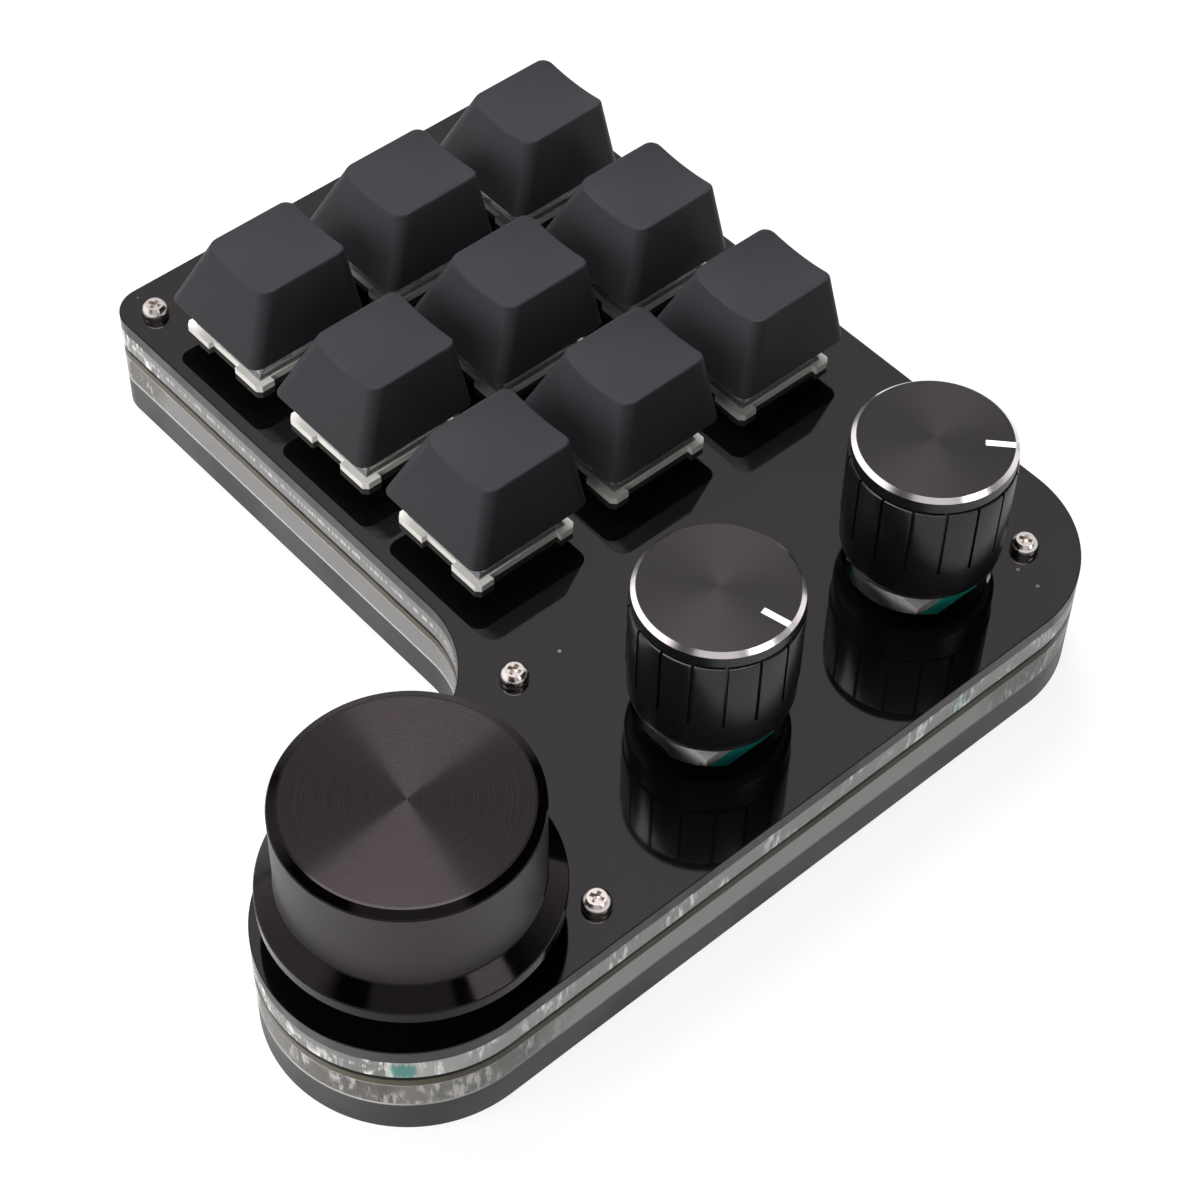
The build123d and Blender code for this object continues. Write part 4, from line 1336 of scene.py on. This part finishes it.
class KEYPAD_OT_fasteners(bpy.types.Operator):
    """Models a plate screw with its cross recess and ringed shank and a rubber foot, and copies them"""

    bl_idname = "keypad.fasteners"
    bl_label = "Screws and feet"

    def screws(self, nickel):
        """Models the plate screws."""
        spots = screw_spots()
        low, high = heights("plate_screws")
        profile, height = [(SHANK_TIP, low)], low + TIP_HEIGHT
        while height < PLATE_TOP - SHANK_END:
            profile += [(SHANK_RADIUS, height), (SHANK_ROOT, height + SHANK_PITCH / 2)]
            height += SHANK_PITCH
        profile.append((SHANK_NECK, height))
        profile += [(radius * MM, PLATE_TOP + rise * MM) for radius, rise in HEAD_CURVE]
        profile.append((HEAD_TOP, high))
        screw = turn("cross_screws", spots[0], profile, segments=40)
        for angle in (RECESS_TURN, RECESS_TURN + math.pi / 2):
            arm = block("recess", RECESS, (spots[0].x, spots[0].y, high + RECESS_RISE), angle)
            pick("FACE", facing(2, -1))
            bpy.ops.transform.resize(
                value=(RECESS_TAPER, RECESS_TAPER, 1), center_override=(spots[0].x, spots[0].y, high)
            )
            cut(screw, arm)
        screws = join(with_copies(screw, "cross_screw", spots), "cross_screws")
        coat(screws, nickel)
        hand_over(screws, "case", "screw_metal", "plate_screws")

    def feet(self):
        """Models the rubber feet."""
        low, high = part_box("rubber_feet")
        left, right = low.x + PAD_RADIUS, high.x - PAD_RADIUS
        front, back = low.y + PAD_RADIUS, high.y - PAD_RADIUS
        block_front = middle_of("keycap_1").y - PAD_SHIFT
        places = ((left, block_front), (left, back), (right, back), (right, front))
        spots = [Vector((x, y, 0)) for x, y in places]
        edge = quarter(PAD_ROUND, PAD_RADIUS - PAD_ROUND, PAD_ROUND, 15, 15)
        foot = turn("rubber_pads", spots[0], [*PAD_DISH, *edge, (PAD_RADIUS, high.z)], segments=64)
        feet = join(with_copies(foot, "pad", spots), "rubber_pads")
        coat(feet, moulded("black rubber", (0.018, 0.018, 0.019), 0.6, 0.8, 1800.0, 0.02))
        hand_over(feet, "case", "foot_rubber", "rubber_feet")

    def execute(self, context):
        nickel = plated("nickel plate", context.scene.keypad_finish.nickel, 0.16, 0.3)
        self.screws(nickel)
        dress(nickel, "plate_nuts")
        self.feet()
        return {"FINISHED"}


# Fixed sizes of the socket's shell and tongue
SHELL_ROUND = 1.4 * MM
SHELL_WALL = 0.3 * MM
SHELL_MOUTH = 6.3 * MM
SHELL_EDGE = 0.08 * MM
TONGUE = (6.6 * MM, 5.6 * MM, 0.7 * MM)
TONGUE_PLACE = 4.1 * MM
TONGUE_EDGE = 0.15 * MM


class KEYPAD_OT_socket(bpy.types.Operator):
    """Models the cable socket's rolled shell and its tongue"""

    bl_idname = "keypad.socket"
    bl_label = "Cable socket"

    def execute(self, context):
        low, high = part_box("cable_socket")
        centre = (low + high) / 2
        shell = block("cable_socket_shell", high - low, centre)
        pick("EDGE", lambda edge: not near(edge.verts[0].co.y, edge.verts[1].co.y))
        bevel(SHELL_ROUND, steps=10)
        pick("FACE", facing(1))
        bpy.ops.mesh.inset(thickness=SHELL_WALL)
        extrude((0, -SHELL_MOUTH, 0))
        pick("EDGE", lambda edge: all(near(corner.co.y, high.y) for corner in edge.verts))
        bevel(SHELL_EDGE, steps=2)
        coat(shell, plated("plated socket shell", (0.62, 0.62, 0.63), 0.2, 0.34))
        tongue = block("cable_socket_tongue", TONGUE, (centre.x, high.y - TONGUE_PLACE, centre.z))
        pick("FACE", facing(1))
        bevel(TONGUE_EDGE, steps=3)
        coat(tongue, moulded("black tongue", (0.015, 0.015, 0.016), 0.35, 0.5))
        hand_over(shell, "case", "socket_metal", "cable_socket")
        hand_over(tongue, "case", "socket_metal", "cable_socket")
        return {"FINISHED"}


# Stage

# Directions of the studio's panels of light, and how bright they and the floor are
UPWARDS = (0, 0, 1)
BESIDE_CAMERA = (0.65, 0.76, 0)
BEHIND_KEYPAD = (-0.76, 0.65, 0)
RIGHT_PANEL = (0.77, 0.18, 0.6)
DIAL_TO_CAMERA = (0.4695, -0.344, 0.8132)
WEDGE_ALONG, WEDGE_ACROSS = (0.6626, -0.749, 0), (-0.749, -0.6626, 0)
WEDGE_LEVEL, RIGHT_LEVEL, LEFT_LEVEL, FRONT_LEVEL, DARKEST = 7.4, 3.2, 1.3, 0.6, 0.06
SOFT_LEVEL, MIRRORED_SHADE = 0.075, (1, 0.93, 0.955)
FLOOR_SIZE, FLOOR_GLOW, FLOOR_MIRRORED = 6.0, 0.88, 0.55
PAPER, PLAIN = (0.17, 0.17, 0.17, 1), (0.35, 0.35, 0.35, 1)

# Name, place, width and power of each light
LIGHTS = (
    ("overhead light", (-0.38, 0.14, 0.62), 0.5, 9.0),
    ("front light", (-0.42, -0.6, 0.3), 0.6, 3.0),
    ("low light", (-0.04, -0.5, 0.3), 0.3, 1.9),
    ("side light", (0.26, -0.46, 0.34), 0.2, 0.8),
)

# Camera that was fitted to the photograph: angles in degrees, target and distance in millimetres
AZIMUTH, ELEVATION, ROLL = 47.27543, 50.45532, 1.679504
TARGET_X, TARGET_Y, DISTANCE = 20.854, 4.223, 338.1506
SENSOR, LENS = 36.0, 84.999


class KEYPAD_OT_stage(bpy.types.Operator):
    """Sets the white floor, the soft light and the camera at the photograph's angle"""

    bl_idname = "keypad.stage"
    bl_label = "Stage"

    def seen_plainly(self, tree, path):
        """Whether a ray comes straight from the camera, or through something clear."""
        return largest(tree, path["Is Camera Ray"], path["Is Transmission Ray"])

    def floor(self, context):
        """Lays a floor that looks white with soft shadows, and lights the piece as grey paper does."""
        bpy.ops.mesh.primitive_plane_add(size=FLOOR_SIZE, location=(0, 0, 0))
        floor = context.object
        floor.name = "floor"
        material = bpy.data.materials.new("white floor")
        material.use_nodes = True
        tree = material.node_tree
        tree.nodes.remove(tree.nodes["Principled BSDF"])
        paper, plain = tree.nodes.new("ShaderNodeBsdfDiffuse"), tree.nodes.new("ShaderNodeBsdfDiffuse")
        paper.inputs["Color"].default_value = PAPER
        plain.inputs["Color"].default_value = PLAIN
        glow = tree.nodes.new("ShaderNodeEmission")
        glow.inputs["Strength"].default_value = FLOOR_GLOW
        white = tree.nodes.new("ShaderNodeAddShader")
        tree.links.new(paper.outputs[0], white.inputs[0])
        tree.links.new(glow.outputs[0], white.inputs[1])
        path = tree.nodes.new("ShaderNodeLightPath").outputs
        plainly = self.seen_plainly(tree, path)
        seen = math_node(tree, "MULTIPLY_ADD", path["Is Glossy Ray"], FLOOR_MIRRORED, plainly)
        surface = blend(tree, seen, plain, white)
        tree.links.new(surface.outputs[0], tree.nodes["Material Output"].inputs["Surface"])
        floor.data.materials.append(material)

    def wedge(self, tree, direction):
        """A wedge of light overhead, whose straight sides give the dial's spun top its crisp fan."""
        leaning = vector_node(tree, "ADD", direction, DIAL_TO_CAMERA)
        rise = vector_node(tree, "DOT_PRODUCT", leaning, UPWARDS)
        along = math_node(tree, "DIVIDE", vector_node(tree, "DOT_PRODUCT", leaning, WEDGE_ALONG), rise)
        across = math_node(tree, "DIVIDE", vector_node(tree, "DOT_PRODUCT", leaning, WEDGE_ACROSS), rise)
        angle = math_node(tree, "ARCTAN2", off(tree, across, 0.0), along)
        sides, end = fade(tree, angle, 0.64, 0.69), fade(tree, along, 0.32, 0.37)
        return times(tree, sides, spread(tree, along, 0.1, 0.14, 0.0, WEDGE_LEVEL), end)

    def panels(self, tree, direction):
        """How bright the studio is in each direction that a glossy surface mirrors."""
        sideways = vector_node(tree, "DOT_PRODUCT", direction, BESIDE_CAMERA)
        back = vector_node(tree, "DOT_PRODUCT", direction, BEHIND_KEYPAD)
        up = vector_node(tree, "DOT_PRODUCT", direction, UPWARDS)
        aside = off(tree, sideways, 0.0)
        strip = fade(tree, aside, 0.33, 0.42)
        rear_panel = times(tree, spread(tree, up, 0.6, 0.9, 0.7, 1.15), strip, spread(tree, back, -0.1, 0.0))
        front_panel = times(tree, strip, FRONT_LEVEL)
        corners = times(
            tree, spread(tree, aside, 0.35, 0.55), spread(tree, back, 0.1, 0.4), spread(tree, up, 0.25, 0.4)
        )
        horizon = math_node(tree, "SUBTRACT", fade(tree, up, 0.1, 0.5), corners)
        left = spread(tree, sideways, -0.8, -0.6, LEFT_LEVEL, 0.0)
        left_panel = times(tree, left, fade(tree, up, 0.55, 0.75))
        towards_right = vector_node(tree, "DOT_PRODUCT", direction, Vector(RIGHT_PANEL).normalized())
        right_panel = spread(tree, towards_right, 0.97, 0.98, 0.0, RIGHT_LEVEL)
        return largest(
            tree, rear_panel, self.wedge(tree, direction), front_panel, horizon,
            left_panel, right_panel, DARKEST,
        )

    def sky(self, scene):
        """Makes the surroundings white to the camera, soft to rough surfaces and panels to glossy ones."""
        world = scene.world or bpy.data.worlds.new("studio")
        scene.world = world
        world.use_nodes = True
        tree = world.node_tree
        tree.nodes.clear()
        direction = tree.nodes.new("ShaderNodeTexCoord").outputs["Generated"]
        soft, mirrored, white = (tree.nodes.new("ShaderNodeBackground") for _ in range(3))
        for node, shade in ((soft, (1, 1, 1)), (mirrored, MIRRORED_SHADE), (white, (1, 1, 1))):
            node.inputs["Color"].default_value = (*shade, 1)
        soft.inputs["Strength"].default_value = SOFT_LEVEL
        tree.links.new(self.panels(tree, direction), mirrored.inputs["Strength"])
        path = tree.nodes.new("ShaderNodeLightPath").outputs
        lit = blend(tree, path["Is Glossy Ray"], soft, mirrored)
        surface = blend(tree, self.seen_plainly(tree, path), lit, white)
        tree.links.new(surface.outputs[0], tree.nodes.new("ShaderNodeOutputWorld").inputs["Surface"])

    def lights(self, context):
        """Adds the square lights, which face the keypad and aren't mirrored in it."""
        for name, place, size, power in LIGHTS:
            bpy.ops.object.light_add(type="AREA", location=place)
            light = context.object
            light.name = name
            light.data.shape = "SQUARE"
            light.data.size = size
            light.data.energy = power
            light.rotation_euler = (-Vector(place)).to_track_quat("-Z", "Y").to_euler()
            light.visible_glossy = False
            light.visible_camera = False

    def camera(self, context):
        """Adds the camera that looks as the photograph does."""
        azimuth, elevation, roll = (math.radians(angle) for angle in (AZIMUTH, ELEVATION, ROLL))
        target = Vector((TARGET_X * MM, TARGET_Y * MM, PLATE_TOP))
        away = Vector((
            math.sin(azimuth) * math.cos(elevation),
            -math.cos(azimuth) * math.cos(elevation),
            math.sin(elevation),
        ))
        side = Vector((math.cos(azimuth), math.sin(azimuth), 0))
        above = away.cross(side)
        tilted_side = side * math.cos(roll) + above * math.sin(roll)
        tilted_above = above * math.cos(roll) - side * math.sin(roll)
        turn_to = Matrix((tilted_side, tilted_above, away)).transposed().to_4x4()
        bpy.ops.object.camera_add()
        camera = context.object
        camera.name = "photo camera"
        camera.matrix_world = Matrix.Translation(target + away * DISTANCE * MM) @ turn_to
        camera.data.sensor_fit = "HORIZONTAL"
        camera.data.sensor_width = SENSOR
        camera.data.lens = LENS
        camera.data.clip_start = 0.01
        context.scene.camera = camera

    def execute(self, context):
        context.scene.view_settings.view_transform = "Standard"
        close()
        bpy.ops.object.select_all(action="DESELECT")
        self.floor(context)
        self.sky(context.scene)
        self.lights(context)
        self.camera(context)
        return {"FINISHED"}


# Add-on

OPERATORS = (
    KEYPAD_OT_sheets, KEYPAD_OT_keycaps, KEYPAD_OT_switches, KEYPAD_OT_encoders, KEYPAD_OT_knobs,
    KEYPAD_OT_dial, KEYPAD_OT_fasteners, KEYPAD_OT_socket, KEYPAD_OT_stage,
)
SETTINGS = {
    "keypad_sheets": KeypadSheets,
    "keypad_keys": KeypadKeys,
    "keypad_knobs": KeypadKnobs,
    "keypad_dial": KeypadDial,
    "keypad_finish": KeypadFinish,
}


class KEYPAD_PT_panel(bpy.types.Panel):
    """Lists the keypad's pieces and their sizes"""

    bl_idname = "KEYPAD_PT_panel"
    bl_label = "Macro keypad"
    bl_space_type = "VIEW_3D"
    bl_region_type = "UI"
    bl_category = "Keypad"

    def draw(self, context):
        for operator in OPERATORS:
            self.layout.operator(operator.bl_idname)
        for name, group in SETTINGS.items():
            box = self.layout.box()
            for setting in group.__annotations__:
                box.prop(getattr(context.scene, name), setting)


CLASSES = (*SETTINGS.values(), *OPERATORS, KEYPAD_PT_panel)


def register():
    """Registers the classes and hangs the settings on the scene."""
    for made in CLASSES:
        bpy.utils.register_class(made)
    for name, group in SETTINGS.items():
        setattr(bpy.types.Scene, name, bpy.props.PointerProperty(type=group))


def unregister():
    """Takes the settings and the classes away again."""
    for name in SETTINGS:
        delattr(bpy.types.Scene, name)
    for made in reversed(CLASSES):
        bpy.utils.unregister_class(made)


def main():
    """Makes every piece and the stage."""
    register()
    bpy.ops.keypad.sheets()
    bpy.ops.keypad.keycaps()
    bpy.ops.keypad.switches()
    bpy.ops.keypad.encoders()
    bpy.ops.keypad.knobs()
    bpy.ops.keypad.dial()
    bpy.ops.keypad.fasteners()
    bpy.ops.keypad.socket()
    bpy.ops.keypad.stage()


if __name__ == "__main__":
    main()
